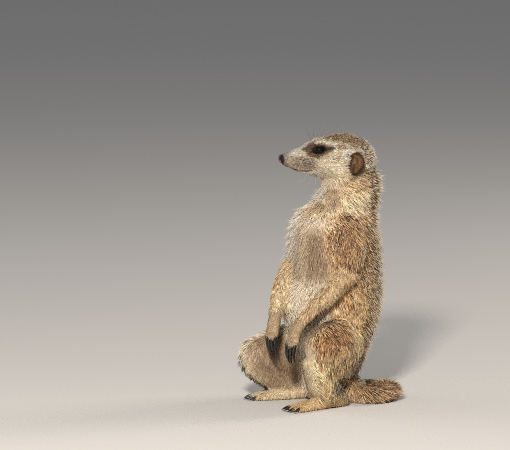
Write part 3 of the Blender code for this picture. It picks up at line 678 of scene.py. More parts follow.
def paint_head():
    grain = wobble(3.0, 21)
    lay(mix(GREY, CREAM, 0.45), head * ramp(back, 84, 74), 0.3, 0.45)
    lay(mix(CREAM, WHITE, 0.25), head * ramp(back, 26, 42) * ramp(up, 4.0, -4.0), 0.25, 0.4)
    lay(mix(CREAM, AMBER, 0.4), head * ramp(back, 44, 62) * ramp(up, -6.0, -16.0) * 0.8, 0.25, 0.35)
    lay(mix(GREY, FAWN, 0.45), head * ramp(back, 34, 26) * ramp(up, 4.0, -2.0) * 0.5, 0.1, 0.2)
    bridge = ramp(back, 32, 25) * ramp(up - 0.35 * back, -4.5, 0.0)
    lay(mix(GREY, WHITE, 0.35), head * bridge * 0.8, 0.0, 0.1)
    under_edge = on_line(back, CROWN_EDGE) - up + 1.3 * grain + 0.9 * wobble(7.0, 5)
    crown = head * ramp(under_edge, 1.8, -1.2)
    lay(mix(BROWN, GOLD, 0.36 + 0.25 * grain), crown * 0.97, 1.0, 0.5)
    mark(mix(CREAM, WHITE, 0.4), (38, 15.5, 15.8), (12, 9.0, 2.9), 0.95, 0.0, 0.3)
    mark(mix(GREY, WHITE, 0.3), (50, 20, 13.0), (6, 9, 3.5), 0.7, 0.1, 0.4)
    streaks = ramp(wobble(3.4, 6), -0.25, 0.35) * 0.85
    mark(mix(RUST, BROWN, 0.35), (53.5, 23, 12.4), (5.5, 9, 5.0), streaks, 0.3, 0.2)
    mark(mix(GREY, WHITE, 0.45), (60, 25, 5.5), (7, 11, 7), 0.8, 0.3, 0.5)
    mark(AMBER, (70, 24, -19), (9, 13, 8), 0.8, 0.1, 0.2)
    mark(BROWN, (50.3, 26, 1.0), (2.6, 9, 2.3), 0.6 + 0.4 * grain, 0.0, 0.0)
    patch = inside_of(PATCH_EDGE) + 0.4 * grain + 0.4 * wobble(1.7, 22)
    patch_colour = mix(BROWN, FAWN, 0.1 * ramp(back, 33.0, 26.0))
    patch_colour = mix(patch_colour, DARK, 0.12 + 0.12 * ramp(back, 28, 34))
    lay(patch_colour, head * ramp(patch, -1.2, 1.5) * (out > 5) * 0.96, 0.2, 0.0)
    mark(mix(BROWN, DARK, 0.5), (27.6, 13.0, 9.4), (5.0, 13.0, 3.0), 0.35, 0.1, 0.0, 0.3)
    mark(DARK, (46.5, 21, 9.8), (3.4, 9, 3.0), 0.85, 0.0, 0.0, 0.5)
    mark(mix(DARK, BROWN, 0.15), (37.2, 17.0, 8.6), (8.6, 14.0, 4.5), 0.9, 0.0, 0.0, 0.7)
    mark(mix(BROWN, DARK, 0.2), (30.6, 12, 15.0), (2.2, 6, 3.4), 0.7, 0.0, 0.0)
    mark(DARK, (30.4, 13, 6.2), (2.8, 9, 1.9), 0.9, 0.0, 0.0)
    for side, _ in SIDES:
        _, b, _, reach = in_eye(skin_points, side)
        near = size_of(skin_points - EYES[side]) < 11.0
        lay(DARK * 0.5, head * ramp(reach, 1.45, 1.22) * near * 0.97, 0.0, 0.0)
        under = bell(reach - 1.6, 0.12) * ramp(b, -1.4, -2.4) * near
        lay(mix(SAND, RUST, 0.4), head * under * 0.6, 0.0, 0.0)
    lay(mix(DARK, BROWN, 0.3), head * whisker_dashes() * 0.95, 0.0, 0.0)
    above, inside = mouth_distance(in_face)
    lower_lip = ramp(above, -0.3, -1.2) * ramp(above, -4.5, -2.5) * ramp(back, 44, 30)
    lay(WHITE, head * lower_lip * 0.85, 0.0, 0.2)
    lay(mix(GREY, WHITE, 0.3), head * ramp(above, -2.5, -4.5) * ramp(back, 40, 26) * 0.7, 0.1, 0.2)
    lay(DARK, head * bell(above, 0.8) * inside * 0.9, 0.0, 0.0)
    lay(BROWN, head * bell(above - 1.7, 0.9) * inside * 0.35, 0.0, 0.0)
    lay(mix(GREY * 0.5, BROWN, 0.5), head * ramp(back, 12.0, 6.0) * 0.7, 0.0, 0.0)
    lay(DARK, head * ramp(back + 0.25 * np.abs(up + 1.5), 6.4, 4.6), 0.0, 0.0)
    # Painted shade along the folds of the cheek and neck and below the ear
    for line in (SHADED_CREASE, SHADED_EAR_CREASE):
        for start, end in zip(line, line[1:]):
            crease = np.clip(head + share.neck, 0, 1) * bell(beside(start, end), 1.0) * (out > 12)
            lay(mix(BROWN, RUST, 0.45), crease * 0.85, 0.2, 0.0)
    coat.speckle(0.50, head)
    coat.speckle(0.60, crown)


# The ear as it shows from the side: its middle, half sizes and lean, in the head's frame
EAR_MIDDLE, EAR_HALF, EAR_LEAN = (68.6, -2.7), (8.3, 11.2), math.radians(22.0)


def in_ear():
    """Places in the ear's outline, from -1 to 1: towards its back and towards its top, how far from
    its middle, and how much of the ear a place is."""
    a, b = back - EAR_MIDDLE[0], up - EAR_MIDDLE[1]
    rear = (a * math.cos(EAR_LEAN) - b * math.sin(EAR_LEAN)) / EAR_HALF[0]
    top = (a * math.sin(EAR_LEAN) + b * math.cos(EAR_LEAN)) / EAR_HALF[1]
    reach = np.hypot(rear, top)
    zone = ramp(reach, 1.05, 0.92) * ramp(out, 19.0, 22.0)
    return rear, top, reach, np.maximum(zone, share.ear)


ear_rear, ear_top, ear_reach, ear = in_ear()


def paint_ears():
    """A brown cup with two pale folds, dark in front, darkened as painted shade down its opening, and a dark
    rim.
    """
    fold = bell(ear_rear + 0.12 + 0.2 * ear_top, 0.22) * ramp(ear_top, -0.4, 0.1) * ramp(ear_top, 0.8, 0.5)
    back_fold = bell(ear_rear - 0.35, 0.25) * ramp(ear_top, 0.9, 0.4)
    front_edge = bell(ear_rear + 0.55, 0.26) * ramp(np.abs(ear_top + 0.1), 0.8, 0.4)
    # The dark slit down the ear's opening is painted shade
    hollow_shade = bell(ear_rear - 0.02 + 0.2 * ear_top, 0.12) * ramp(ear_top, 0.3, -0.2)
    for colour, where, band, tip in (
        (mix(mix(BROWN, DARK, 0.25), RUST, 0.12), 1.0, 0.2, 0.0),
        (mix(GOLD, FAWN, 0.5), fold * 0.65, 0.0, 0.05),
        (mix(GOLD, FAWN, 0.6), back_fold * 0.42, 0.0, 0.05),
        (DARK, front_edge * 0.85, 0.0, 0.0),
        (DARK, hollow_shade * 0.7, 0.0, 0.0),
        (mix(DARK, BROWN, 0.15), ramp(ear_reach, 0.70, 0.92) * 0.92, 0.0, 0.0),
    ):
        lay(colour, ear * where, band, tip)


def groom():
    """Where the hair is longer, thinner, sparser or stands up more than its kind of flesh says."""
    face = head * ramp(back, 56.0, 24.0)
    top = head * ramp(up, 8.0, 14.0)
    coat.length *= 1 + head * (0.55 * ramp(back, 44, 70) + 0.6 * ramp(back, 68, 82)) - 0.38 * face
    coat.width *= 1 - 0.20 * face - 0.16 * top
    coat.trim(top, density=0.3)
    by_ear = head * ramp(ear_reach, 1.9, 1.3) * ramp(ear_rear, 0.4, -0.2)
    coat.trim(by_ear, length=-0.1, width=-0.34, density=1.0)
    nape = (share.neck + trunk) * ramp(facing_back, 0.0, 0.6)
    coat.length *= 1 + 0.25 * nape + 0.25 * share.chest * spine
    coat.trim((share.neck + 0.9 * trunk) * ramp(facing_back, 0.1, 0.7), lift=15.0)
    rump = (share.pelvis + share.thigh) * ramp(facing_back, 0.0, 0.4) * ramp(high, 66.0, 42.0)
    coat.trim(np.clip(rump, 0, 1), lift=-12.0, length=-0.42)
    inner_leg = legs * np.maximum(ramp(outward * legs, 0.25, -0.1), ramp(-to_rear, 0.6, 0.9))
    front = np.clip((trunk + share.neck + share.upper_arm) * (1 - dorsal) + inner_leg, 0, 1)
    coat.trim(front, lift=-7.0, length=-0.42, width=-0.24, clump=-0.5, density=0.8)
    coat.trim(np.clip(ear - share.ear, 0, 1), length=-0.5, density=-0.6)
    coat.trim(share.pelvis * ramp(high, 12.0, 4.0), density=-0.25)
    for side, _ in SIDES:
        reach = in_eye(skin_points, side)[3]
        near = size_of(skin_points - EYES[side]) < 9.0
        coat.density *= np.where(near, ramp(reach, 1.18, 1.4), 1.0)
        coat.length *= np.where(near, mix(0.55, 1.0, ramp(reach, 1.1, 2.0)), 1.0)
    above, inside = mouth_distance(in_face)
    coat.trim(head * ramp(np.abs(above), 0.5, 0.2) * inside, density=-1.0)
    coat.trim(head * ramp(back + 0.35 * np.abs(up + 1.5), 7.5, 6.0), density=-1.0)
    sole = (high < 1.6) & (skin_normals[:, 2] < -0.5)
    coat.density[sole] = 0.0
    haired = (trunk + share.upper_arm + share.neck) * dorsal + share.tail
    haired = haired + share.thigh * ramp(outward * share.thigh, 0.0, 0.4)
    coat.root = mix(coat.root, 0.66, np.clip(haired, 0, 1))


paint_body()
paint_neck()
paint_limbs()
paint_tail()
paint_head()
paint_ears()
groom()

# ---------------------------------------------------------------- the lie of the coat

def distance_from_nose():
    """The way along the skin from the nose to each point, which the coat lies along. Each point takes
    the shortest way over one of its neighbours until none gets shorter."""
    ends = np.concatenate([skin_edges, skin_edges[:, ::-1]])
    ends = ends[np.argsort(ends[:, 0], kind="stable")]
    sizes = size_of(skin_points[ends[:, 0]] - skin_points[ends[:, 1]])
    starts = np.unique(ends[:, 0], return_index=True)[1]
    found = np.full(len(skin_points), math.inf)
    found[size_of(skin_points - NOSE_TIP).argmin()] = 0.0
    while True:
        shorter = np.minimum(found, np.minimum.reduceat(found[ends[:, 1]] + sizes, starts))
        if (shorter == found).all():
            return found
        found = shorter


def slope_of(values):
    """The direction in which a value grows fastest over the skin, at each point."""
    a, b, c = (skin_points[skin_faces[:, k]] for k in range(3))
    normal = np.cross(b - a, c - a)
    size = np.maximum((normal**2).sum(-1, keepdims=True), 1e-9)
    at_a, at_b, at_c = (values[skin_faces[:, k]][:, None] for k in range(3))
    slope = at_a * np.cross(normal, c - b) + at_b * np.cross(normal, a - c) + at_c * np.cross(normal, b - a)
    return gathered(slope / size, skin_faces, len(skin_points))


def lie_of_coat():
    """Which way the hair lies at each point: away from the nose, and drawn down on the body."""
    away = blurred(distance_from_nose(), skin_edges, 30)
    flow = unit(blurred(slope_of(away), skin_edges, 12))
    pull = 0.8 * trunk + 0.4 * share.neck + 0.7 * share.upper_arm + 0.6 * share.thigh
    flow = flow + pull[:, None] * (0.0, 0.45, -1.0)
    flow = flow + share.forearm[:, None] * (0.0, 0.495, -0.54)
    flow = unit(flow - skin_normals * dot(flow, skin_normals)[:, None])
    turn = 0.30 * wobble(24.0, 8) + 0.16 * wobble(8.0, 9)
    return unit(flow * np.cos(turn)[:, None] + np.cross(skin_normals, flow) * np.sin(turn)[:, None])


lie = lie_of_coat()

# ---------------------------------------------------------------- materials

BLACK = (0.0, 0.0, 0.0)


def set_up(made, settings):
    """Sets what a node has. A name that starts with a capital is one of its sockets."""
    for key, value in settings.items():
        if key[0].isupper():
            made.inputs[key.replace("_", " ")].default_value = value
        else:
            setattr(made, key, value)
    return made


def node(tree, kind, **settings):
    return set_up(tree.nodes.new("ShaderNode" + kind), settings)


def material_of(name, colour, roughness, specular, **more):
    """A material with a colour of its own, or the one that a function of its nodes gives it."""
    material = bpy.data.materials.new(name)
    material.use_nodes = True
    tree = material.node_tree
    shader = tree.nodes["Principled BSDF"]
    settings = {"Roughness": roughness, "Specular_IOR_Level": specular, **more}
    if callable(colour):
        tree.links.new(colour(tree, shader), shader.inputs["Base Color"])
    else:
        settings["Base_Color"] = (*colour, 1.0)
    set_up(shader, settings)
    return material


def stored(tree, name, output="Fac"):
    """What a mesh holds under this name, for each of its points."""
    return node(tree, "Attribute", attribute_name=name).outputs[output]


def between(tree, value, low, high, to_low=0.0, to_high=1.0):
    """A smooth ramp of a value."""
    made = node(tree, "MapRange", interpolation_type="SMOOTHSTEP",
                From_Min=low, From_Max=high, To_Min=to_low, To_Max=to_high)
    tree.links.new(value, made.inputs["Value"])
    return made.outputs["Result"]


def product(tree, a, b):
    made = node(tree, "Math", operation="MULTIPLY")
    for value, socket in zip((a, b), made.inputs):
        tree.links.new(value, socket)
    return made.outputs[0]


def blend(tree, a, b, amount):
    """Two colours, each from a socket or as numbers, mixed by an amount from a socket."""
    made = node(tree, "Mix", data_type="RGBA")
    sockets = {socket.identifier: socket for socket in made.inputs}
    tree.links.new(amount, sockets["Factor_Float"])
    for socket, value in ((sockets["A_Color"], a), (sockets["B_Color"], b)):
        if isinstance(value, bpy.types.NodeSocket):
            tree.links.new(value, socket)
        else:
            socket.default_value = (*value, 1.0)
    return next(s for s in made.outputs if s.identifier == "Result_Color")


def grained(tree, shader, kind, output, strength, depth, **settings):
    """Noise fixed to the piece, which also raises its surface by up to this depth in metres."""
    noise = node(tree, kind, **settings)
    tree.links.new(node(tree, "TexCoord").outputs["Object"], noise.inputs["Vector"])
    bump = node(tree, "Bump", Strength=strength, Distance=depth)
    tree.links.new(noise.outputs[output], bump.inputs["Height"])
    tree.links.new(bump.outputs["Normal"], shader.inputs["Normal"])
    return noise.outputs[output]


def fur_colour(tree, _):
    """Each tuft is darker at its root, and has a dark band and a pale tip as strong as its place says."""
    along = stored(tree, "along")
    bands = node(tree, "SeparateXYZ")
    tree.links.new(stored(tree, "coat_bands", "Vector"), bands.inputs[0])
    root = between(tree, along, 0.0, 0.5, 1.0, 0.0)
    band = product(tree, between(tree, along, 0.34, 0.46), between(tree, along, 0.62, 0.72, 1.0, 0.0))
    tip = between(tree, along, 0.66, 0.76)
    colour = stored(tree, "coat_base", "Color")
    for paint, place, axis in ((BLACK, root, "Z"), (DARK, band, "X"), (mix(CREAM, WHITE, 0.5), tip, "Y")):
        colour = blend(tree, colour, paint, product(tree, place, bands.outputs[axis]))
    return colour


def skin_colour(tree, shader):
    noise = grained(tree, shader, "TexNoise", "Fac", 0.5, 0.0004, Scale=900.0, Detail=3.0)
    return blend(tree, BLACK, stored(tree, "coat_base", "Color"), between(tree, noise, 0.3, 0.7, 0.45, 0.95))


FUR = material_of("coat_fur", fur_colour, 0.62, 0.10, Sheen_Weight=0.03, Sheen_Roughness=0.5)

# ---------------------------------------------------------------- the skin as a piece

FIELDS = {"FLOAT": "value", "FLOAT_VECTOR": "vector", "FLOAT_COLOR": "color"}


def store(mesh, name, kind, values):
    """Gives each point of the mesh a value, under a name that its material reads."""
    if kind == "FLOAT_COLOR":
        values = np.column_stack([values, np.ones(len(values))])
    layer = mesh.attributes.new(name, kind, "POINT")
    layer.data.foreach_set(FIELDS[kind], values.astype(np.float32).ravel())


def finish_piece(obj, slot, *replaced):
    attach(obj, "root")
    if replaced:
        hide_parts(*replaced)


def add_piece(name, mesh, material, slot, *replaced):
    finish_piece(object_of(name, mesh, material), slot, *replaced)


def add_skin():
    """The skin, and an unwrap of its own shape as one place for each corner of each triangle."""
    mesh = mesh_of("skin", skin_points, skin_faces)
    obj = object_of("skin", mesh, material_of("skin", skin_colour, 0.7, 0.2))
    shade = coat.base * mix(0.85, 0.5, np.clip(coat.band, 0, 1))[:, None]
    store(mesh, "coat_base", "FLOAT_COLOR", shade)
    mesh.uv_layers.new(name="OFBake")
    bpy.context.view_layer.objects.active = obj
    obj.select_set(True)
    bpy.ops.object.mode_set(mode="EDIT")
    bpy.ops.mesh.select_all(action="SELECT")
    bpy.ops.uv.smart_project(angle_limit=math.radians(66), island_margin=0.003)
    bpy.ops.object.mode_set(mode="OBJECT")
    obj.select_set(False)
    finish_piece(obj, "coat", *FLESH)
    return read(mesh.uv_layers["OFBake"].data, "uv", 2).reshape(-1, 3, 2)


skin_uv = add_skin()

# ---------------------------------------------------------------- tufts

# Each tuft's patch in the unwrap, and how far its root is sunk into the skin
PATCH, SUNK = 0.003, 0.35
DENSITY = 1.0
HAIR_ABOVE_FLOOR = 0.12
# The rings of a tuft, each as its place along it and its share of the width; the tip follows
STRAIGHT = [(0.0, 1.0)]
LOCK = [(0.0, 0.8), (0.5, 0.95)]
GUARD = [(0.0, 0.8), (0.55, 0.9)]
# The corners of a ring, each as its place across and above the tuft's middle line
CORNERS = ((-0.5, -0.12), (0.5, -0.12), (0.0, 0.26))


class Roots:
    """Places on the skin where tufts grow, with the skin's fields read at each."""

    def __init__(self, chosen, density):
        corners = skin_points[skin_faces]
        across, along = corners[:, 1] - corners[:, 0], corners[:, 2] - corners[:, 0]
        area = size_of(np.cross(across, along)) / 2
        wanted = area * density[skin_faces].mean(axis=1) * chosen * DENSITY
        count = np.floor(wanted + rng.random(len(wanted))).astype(int)
        self.face = np.repeat(np.arange(len(count)), count)
        a = np.sqrt(rng.random(len(self.face)))
        b = rng.random(len(self.face))
        self.weight = np.column_stack([1 - a, a * (1 - b), a * b])
        self.place(self.read(skin_points))

    def place(self, points):
        """Puts a root at each of these points, which lie on or near its triangle."""
        self.point = points
        if len(self.weight) != len(points):
            self.weight = np.full((len(points), 3), 1 / 3)
        self.normal = unit(self.read(skin_normals))
        lie_here = self.read(lie)
        self.lie = unit(lie_here - self.normal * dot(lie_here, self.normal)[:, None])
        self.uv = (skin_uv[self.face] * self.weight[:, :, None]).sum(axis=1)

    def __len__(self):
        return len(self.face)

    def read(self, values):
        corner = values[skin_faces[self.face]]
        weight = self.weight if corner.ndim == 2 else self.weight[:, :, None]
        return (corner * weight).sum(axis=1)

    def sway(self, spread):
        """Turns each tuft's lie a little to one side."""
        turn = rng.normal(0, spread, len(self))[:, None]
        self.lie = unit(self.lie * np.cos(turn) + np.cross(self.normal, self.lie) * np.sin(turn))

    def leaders(self, size):
        """For each tuft, the one that leads its lock: the nearest of some picked so that a lock has
        about this many tufts."""
        picked = np.flatnonzero(rng.random(len(self)) < 1.0 / size)
        if len(picked) < 2:
            return np.arange(len(self))
        tree = KDTree(len(picked))
        for index, leader in enumerate(picked):
            tree.insert(self.point[leader], index)
        tree.balance()
        return picked[[tree.find(p)[1] for p in self.point]]


# How far the tip of a tuft comes over to its lock, and how late along its length it does
GATHERED, TURNS_LATE = 0.75, 1.4
# A tuft is shaded partly as the round thing it is and partly as the skin faces
AS_ROUND, AS_SKIN = 0.7, 0.6


def clumped(tips, roots, length, amount, lead):
    """Tips drawn together in locks, each towards the tip of the tuft that leads its lock."""
    pull = (tips[lead] - roots[lead]) * (length / length[lead])[:, None] + (roots[lead] - roots) * GATHERED
    return mix(tips, roots + pull, amount)


def grow(name, roots, rings, length, width, lift, bend, clump, lead, colours, slot):
    """One mesh of closed three-sided tufts. lift and bend are in degrees; bend lays the tip back
    down. colours are each tuft's colour, and how strong its band, its tip and its dark root are."""
    count = len(roots)
    if not count:
        return 0
    steps = [t for t, _ in rings] + [1.0]
    centre = [roots.point - roots.normal * SUNK]
    ways = []
    for a, b in zip(steps, steps[1:]):
        angle = np.radians(lift - bend * (a + b) / 2)[:, None]
        ways.append(roots.lie * np.cos(angle) + roots.normal * np.sin(angle))
        centre.append(centre[-1] + ways[-1] * (length * (b - a))[:, None])
    shift = clumped(centre[-1], roots.point, length, clump, lead) - centre[-1]
    centre = [middle_line + shift * t**TURNS_LATE for middle_line, t in zip(centre, steps)]
    side = unit(np.cross(roots.normal, ways[0]))
    rows, normals = [], []
    for middle_line, way, (_, size) in zip(centre, ways, rings):
        top = unit(np.cross(way, side))
        for across, rise in CORNERS:
            offset = side * across + top * rise
            rows.append(middle_line + offset * (width * size)[:, None])
            normals.append(unit(unit(offset) * AS_ROUND + roots.normal * AS_SKIN))
    rows.append(centre[-1])
    normals.append(roots.normal)
    per = len(rows)
    points = np.stack(rows, axis=1).reshape(-1, 3)
    points[:, 2] = np.maximum(points[:, 2], HAIR_ABOVE_FLOOR)
    last = per - 4
    faces = [(0, 2, 1), *in_triangles(quads_between(len(rings), 3))]
    faces += [(last + c, last + (c + 1) % 3, per - 1) for c in range(3)]
    faces = (np.array(faces)[None] + (np.arange(count) * per)[:, None, None]).reshape(-1, 3)
    made = mesh_of(name, points, faces)
    add_piece(name, made, FUR, slot)
    base, bands = colours
    along = np.tile(np.append(np.repeat(steps[:-1], 3), 1.0), count)
    store(made, "coat_base", "FLOAT_COLOR", np.repeat(base, per, axis=0))
    store(made, "coat_bands", "FLOAT_VECTOR", np.repeat(bands, per, axis=0))
    store(made, "along", "FLOAT", along)
    across = np.tile([0.0, 1.0, 0.5] * len(rings) + [0.5], count)
    places = np.repeat(roots.uv, per, axis=0) + np.column_stack([across - 0.5, along - 0.5]) * PATCH
    layer = made.uv_layers.new(name="OFBake")
    layer.data.foreach_set("uv", places[faces.ravel()].astype(np.float32).ravel())
    normals = np.stack(normals, axis=1).reshape(-1, 3)
    made.normals_split_custom_set_from_vertices(normals.tolist())
    print(name, count, "tufts", len(faces), "triangles")
    return len(faces)


# How a tuft's tone varies: with its lock, by itself, and in steps of dark, plain and light
LOCK_TONE, OWN_TONE, STEP_TONE = 0.6, 0.5, 0.8
# The middle of the tones and their limits, and how much faster green and blue fall in dark tufts
TONE_MIDDLE, TONE_LIMITS, RUSTIER = -0.15, (-2.2, 1.5), (0.0, 0.14, 0.34)
# How much creamier light tufts are, anywhere and where tips are pale
CREAMIER = (0.05, 0.7)
# How much the bands and the tips differ between tufts, as shares of what their place says
BAND_RANGE, TIP_RANGE = (0.35, 1.25), (0.3, 1.25)
# Where bands are dark, this share of the tufts is dark all over, and this dark; a colour's limits
DARK_TUFTS, DARKENED, COLOUR_LIMITS = 0.14, 0.7, (0.003, 0.95)


def tuft_colours(roots, lead, brightness):
    """Each lock has a tone of its own and each tuft in it another: light ones are creamier and dark
    ones rustier."""
    count = len(roots)
    own = OWN_TONE * rng.normal(size=count) + STEP_TONE * rng.integers(-1, 2, count)
    tone = np.clip(LOCK_TONE * rng.normal(size=count)[lead] + own + TONE_MIDDLE, *TONE_LIMITS)
    tone = tone * roots.read(coat.contrast)
    base = roots.read(coat.base) * np.exp(tone)[:, None]
    base = base * np.exp(np.minimum(tone, 0)[:, None] * RUSTIER)
    creamier = np.clip(tone, 0, 1) * (CREAMIER[0] + CREAMIER[1] * roots.read(coat.tip))
    base = mix(base, CREAM, creamier) * brightness
    band = np.clip(roots.read(coat.band) * rng.uniform(*BAND_RANGE, count), 0, 1)
    tip = np.clip(roots.read(coat.tip) * rng.uniform(*TIP_RANGE, count), 0, 1)
    dark = rng.random(count) < roots.read(coat.band) * DARK_TUFTS
    base[dark] = mix(base[dark], DARK, DARKENED)
    return np.clip(base, *COLOUR_LIMITS), np.column_stack([band, tip, roots.read(coat.root)])


# The pieces of the coat: the nodes that each covers, by how their names start, and its slot
PIECES = {
    "coat_head": (("head", "lower_jaw", "ear", "eye", "nose"), "pale_coat"),
    "coat_neck": ("neck", "coat"),
    "coat_chest": ("chest", "coat"),
    "coat_abdomen": ("abdomen", "coat"),
    "coat_pelvis": ("pelvis", "coat"),
    "coat_arms": (("upper_arm", "forearm", "hand"), "pale_coat"),
    "coat_thighs": ("thigh", "coat"),
    "coat_shanks": (("shank", "foot"), "pale_coat"),
    "coat_tail": ("tail", "tail_coat"),
}
# The layers of the coat: its name, the tufts' rings, their bend, whether it is for long hair, how
# many tufts make a lock, and its density, length, width, lift, clumping and brightness as shares
LAYERS = (
    ("_under", STRAIGHT, 0.0, True, 5, 0.60, 0.62, 1.35, 0.65, 0.5, 0.62),
    ("", LOCK, 18.0, True, 7, 0.74, 1.08, 1.08, 1.0, 1.0, 1.0),
    ("_short", STRAIGHT, 0.0, False, 5, 1.0, 1.0, 1.0, 1.0, 1.0, 1.0),
)
# Hair longer than this is long; a piece with fewer tufts than this has no such layer
LONG_FROM, FEWEST = 6.6, 20
# How much tufts differ: in length and width, as shares, in the lie of tufts and of single hairs, in
# radians, and in lift from tuft to tuft and from lock to lock, in degrees
LENGTHS, WIDTHS = (0.75, 1.25), (0.8, 1.2)
SWAY, GUARD_SWAY, OWN_LIFT, LOCK_LIFT = 0.15, 0.2, 4.0, 5.0


def grow_all():
    total = 0
    face_node = skin_node[skin_faces[:, 0]]
    long_hair = (coat.length > LONG_FROM)[skin_faces].mean(axis=1) > 0.5
    for name, (starts, slot) in PIECES.items():
        chosen = np.array([n.startswith(starts) for n in face_node])
        for style, rings, bend, wants_long, lock, thick, tall, wide, raised, gather, bright in LAYERS:
            roots = Roots(chosen & (long_hair == wants_long), coat.density * thick)
            if len(roots) < FEWEST:
                continue
            count = len(roots)
            roots.sway(SWAY)
            lead = roots.leaders(lock)
            length = roots.read(coat.length) * tall * rng.uniform(*LENGTHS, count)
            width = roots.read(coat.width) * wide * rng.uniform(*WIDTHS, count)
            lift = roots.read(coat.lift) * raised + rng.normal(0, OWN_LIFT, count)
            lift += rng.normal(0, LOCK_LIFT, count)[lead]
            clump = roots.read(coat.clump) * gather
            colours = tuft_colours(roots, lead, bright)
            total += grow(name + style, roots, rings, length, width, lift, bend, clump, lead, colours, slot)
    return total


# The single hairs that stand out of the coat: how many to a square mm, length, width, lift, and how
# strong their dark band and pale tip are
GUARDS = {
    "back": (0.42, (12.5, 18.5), 0.52, (36, 58), 0.85, 1.0),
    "side": (0.22, (9.0, 12.0), 0.52, (16, 32), 0.5, 0.9),
    "front": (0.10, (7.0, 12.0), 0.40, (36, 60), 0.0, 1.0),
    "tail": (0.22, (6.5, 9.0), 0.46, (14, 30), 0.6, 0.6),
}


def grow_guards():
    total = 0
    body = trunk + share.neck + share.upper_arm
    behind = (trunk + share.neck) * ramp(facing_back, 0.0, 0.45)
    nape = share.head * ramp(back, 68.0, 80.0) * ramp(up, -10.0, 0.0) * (1 - ear)
    front = body * (1 - dorsal)
    thigh_side = share.thigh * ramp(outward * share.thigh, 0.0, 0.4)
    where = {
        "back": behind + 1.2 * nape,
        "side": np.clip(body - front - behind, 0, 1) + 0.9 * thigh_side,
        "front": front,
        "tail": share.tail,
    }
    short = (1 - 0.4 * ramp(high, 66.0, 42.0)) * (1 - 0.5 * np.clip(share.head, 0, 1))
    for name, (density, long, wide, lift, band, tip) in GUARDS.items():
        roots = Roots(True, density * where[name] * (coat.density > 0))
        count = len(roots)
        roots.sway(GUARD_SWAY)
        base = mix(roots.read(coat.base), CREAM, 0.5 * roots.read(coat.tip))
        pale = np.clip(roots.read(coat.tip) / 0.45, 0.6, 1.0)
        bands = np.column_stack([np.full(count, band), tip * pale, np.full(count, 0.3)])
        length = rng.uniform(*long, count) * roots.read(short)
        width = wide * rng.uniform(*WIDTHS, count)
        lift = rng.uniform(*lift, count)
        slot = "tail_coat" if name == "tail" else "coat"
        total += grow("coat_guard_" + name, roots, GUARD, length, width, lift, 10.0,
                      0.15, roots.leaders(3), (base, bands), slot)
    return total


def grow_whisker_spots():
    """Three short dark hairs at each place on the whisker pads."""
    places = []
    for far, tall, column in pad_places(rng, 9, (9.5, -7.6), (2.7, 1.3, 1.55), (0.7, 0.3), (2.8, 0.08)):
        places += [(far, sign * (9.0 + 0.5 * column), tall) for _, sign in SIDES]
    tree = tree_of(skin_points, skin_faces)
    found = [tree.find_nearest(Vector(from_head(place))) for place in places for _ in range(3)]
    roots = Roots(False, coat.density)
    roots.face = np.array([hit[2] for hit in found])
    roots.place(np.array([hit[0] for hit in found]) + rng.normal(0, 0.22, (len(found), 3)))
    count = len(roots)
    base = mix(mix(GREY, FAWN, 0.5), DARK, rng.uniform(0.5, 1.0, count))
    length, width = rng.uniform(2.0, 3.6, count), rng.uniform(0.42, 0.72, count)
    return grow("coat_spots", roots, STRAIGHT, length, width, np.full(count, 17.0), 0.0,
                0.0, np.arange(count), (base, np.zeros((count, 3))), "pale_coat")


print("coat", grow_all() + grow_guards() + grow_whisker_spots(), "triangles in all")

# ---------------------------------------------------------------- eyes, nose, claws, whiskers

def grid_mesh(name, rings):
    """A closed surface from rings of points, all with the same number of points."""
    rows, around = rings.shape[:2]
    ends = [tuple(range(around))[::-1], tuple(range((rows - 1) * around, rows * around))]
    mesh = bpy.data.meshes.new(name)
    mesh.from_pydata((rings.reshape(-1, 3) * MM).tolist(), [], quads_between(rows, around) + ends)
    mesh.shade_smooth()
    return mesh


def ball_rings(rows, columns):
    """Directions over a ball, as rows of rings from one pole to the other."""
    polar = np.linspace(0.02, math.pi - 0.02, rows)[:, None]
    around = np.linspace(0, 2 * math.pi, columns, endpoint=False)[None]
    return np.stack([np.sin(polar) * np.cos(around), np.sin(polar) * np.sin(around),
                     np.cos(polar) * np.ones_like(around)], axis=-1)


# The eye's colours: the pupil and the iris's edge, the iris, and the ball round it
PUPIL_COLOUR, IRIS_COLOUR, BALL_COLOUR = (0.0025, 0.002, 0.002), (0.007, 0.004, 0.003), (0.02, 0.012, 0.01)


def eye_colour(tree, _):
    """Nearly black, with a dark brown iris ring round a wide pupil."""
    reach = stored(tree, "reach")
    iris = product(tree, between(tree, reach, 0.40, 0.52), between(tree, reach, 0.78, 0.92, 1.0, 0.0))
    colour = blend(tree, PUPIL_COLOUR, IRIS_COLOUR, iris)
    return blend(tree, colour, BALL_COLOUR, between(tree, reach, 1.12, 1.3))


# The iris's half sizes, how much smaller the ball is than its CAD solid, how far the cornea swells
# and how wide it is
IRIS, EYE_SMALLER, CORNEA, CORNEA_WIDE = (3.6, 3.4), 0.12, 0.035, 0.55


def add_eyes():
    material = material_of("eye", eye_colour, 0.08, 0.12, Coat_Weight=0.05, Coat_Roughness=0.02)
    rings = ball_rings(40, 56)
    swell = 1.0 + CORNEA * bell(np.arccos(np.clip(rings[..., 2], -1, 1)), CORNEA_WIDE)
    ball = rings * swell[..., None] * (EYE_RADIUS - EYE_SMALLER)
    a, b, c = ball.reshape(-1, 3).T
    reach = np.sqrt((a / IRIS[0]) ** 2 + (b / IRIS[1]) ** 2) + (c < 0) * 2
    for side, _ in SIDES:
        mesh = grid_mesh("eyeball_" + side, ball @ EYE_AXES[side] + EYES[side])
        store(mesh, "reach", "FLOAT", reach)
        add_piece("eyeball_" + side, mesh, material, "eye", "eye_" + side)


NOSE_HALF = (3.6, 3.8, 3.9)
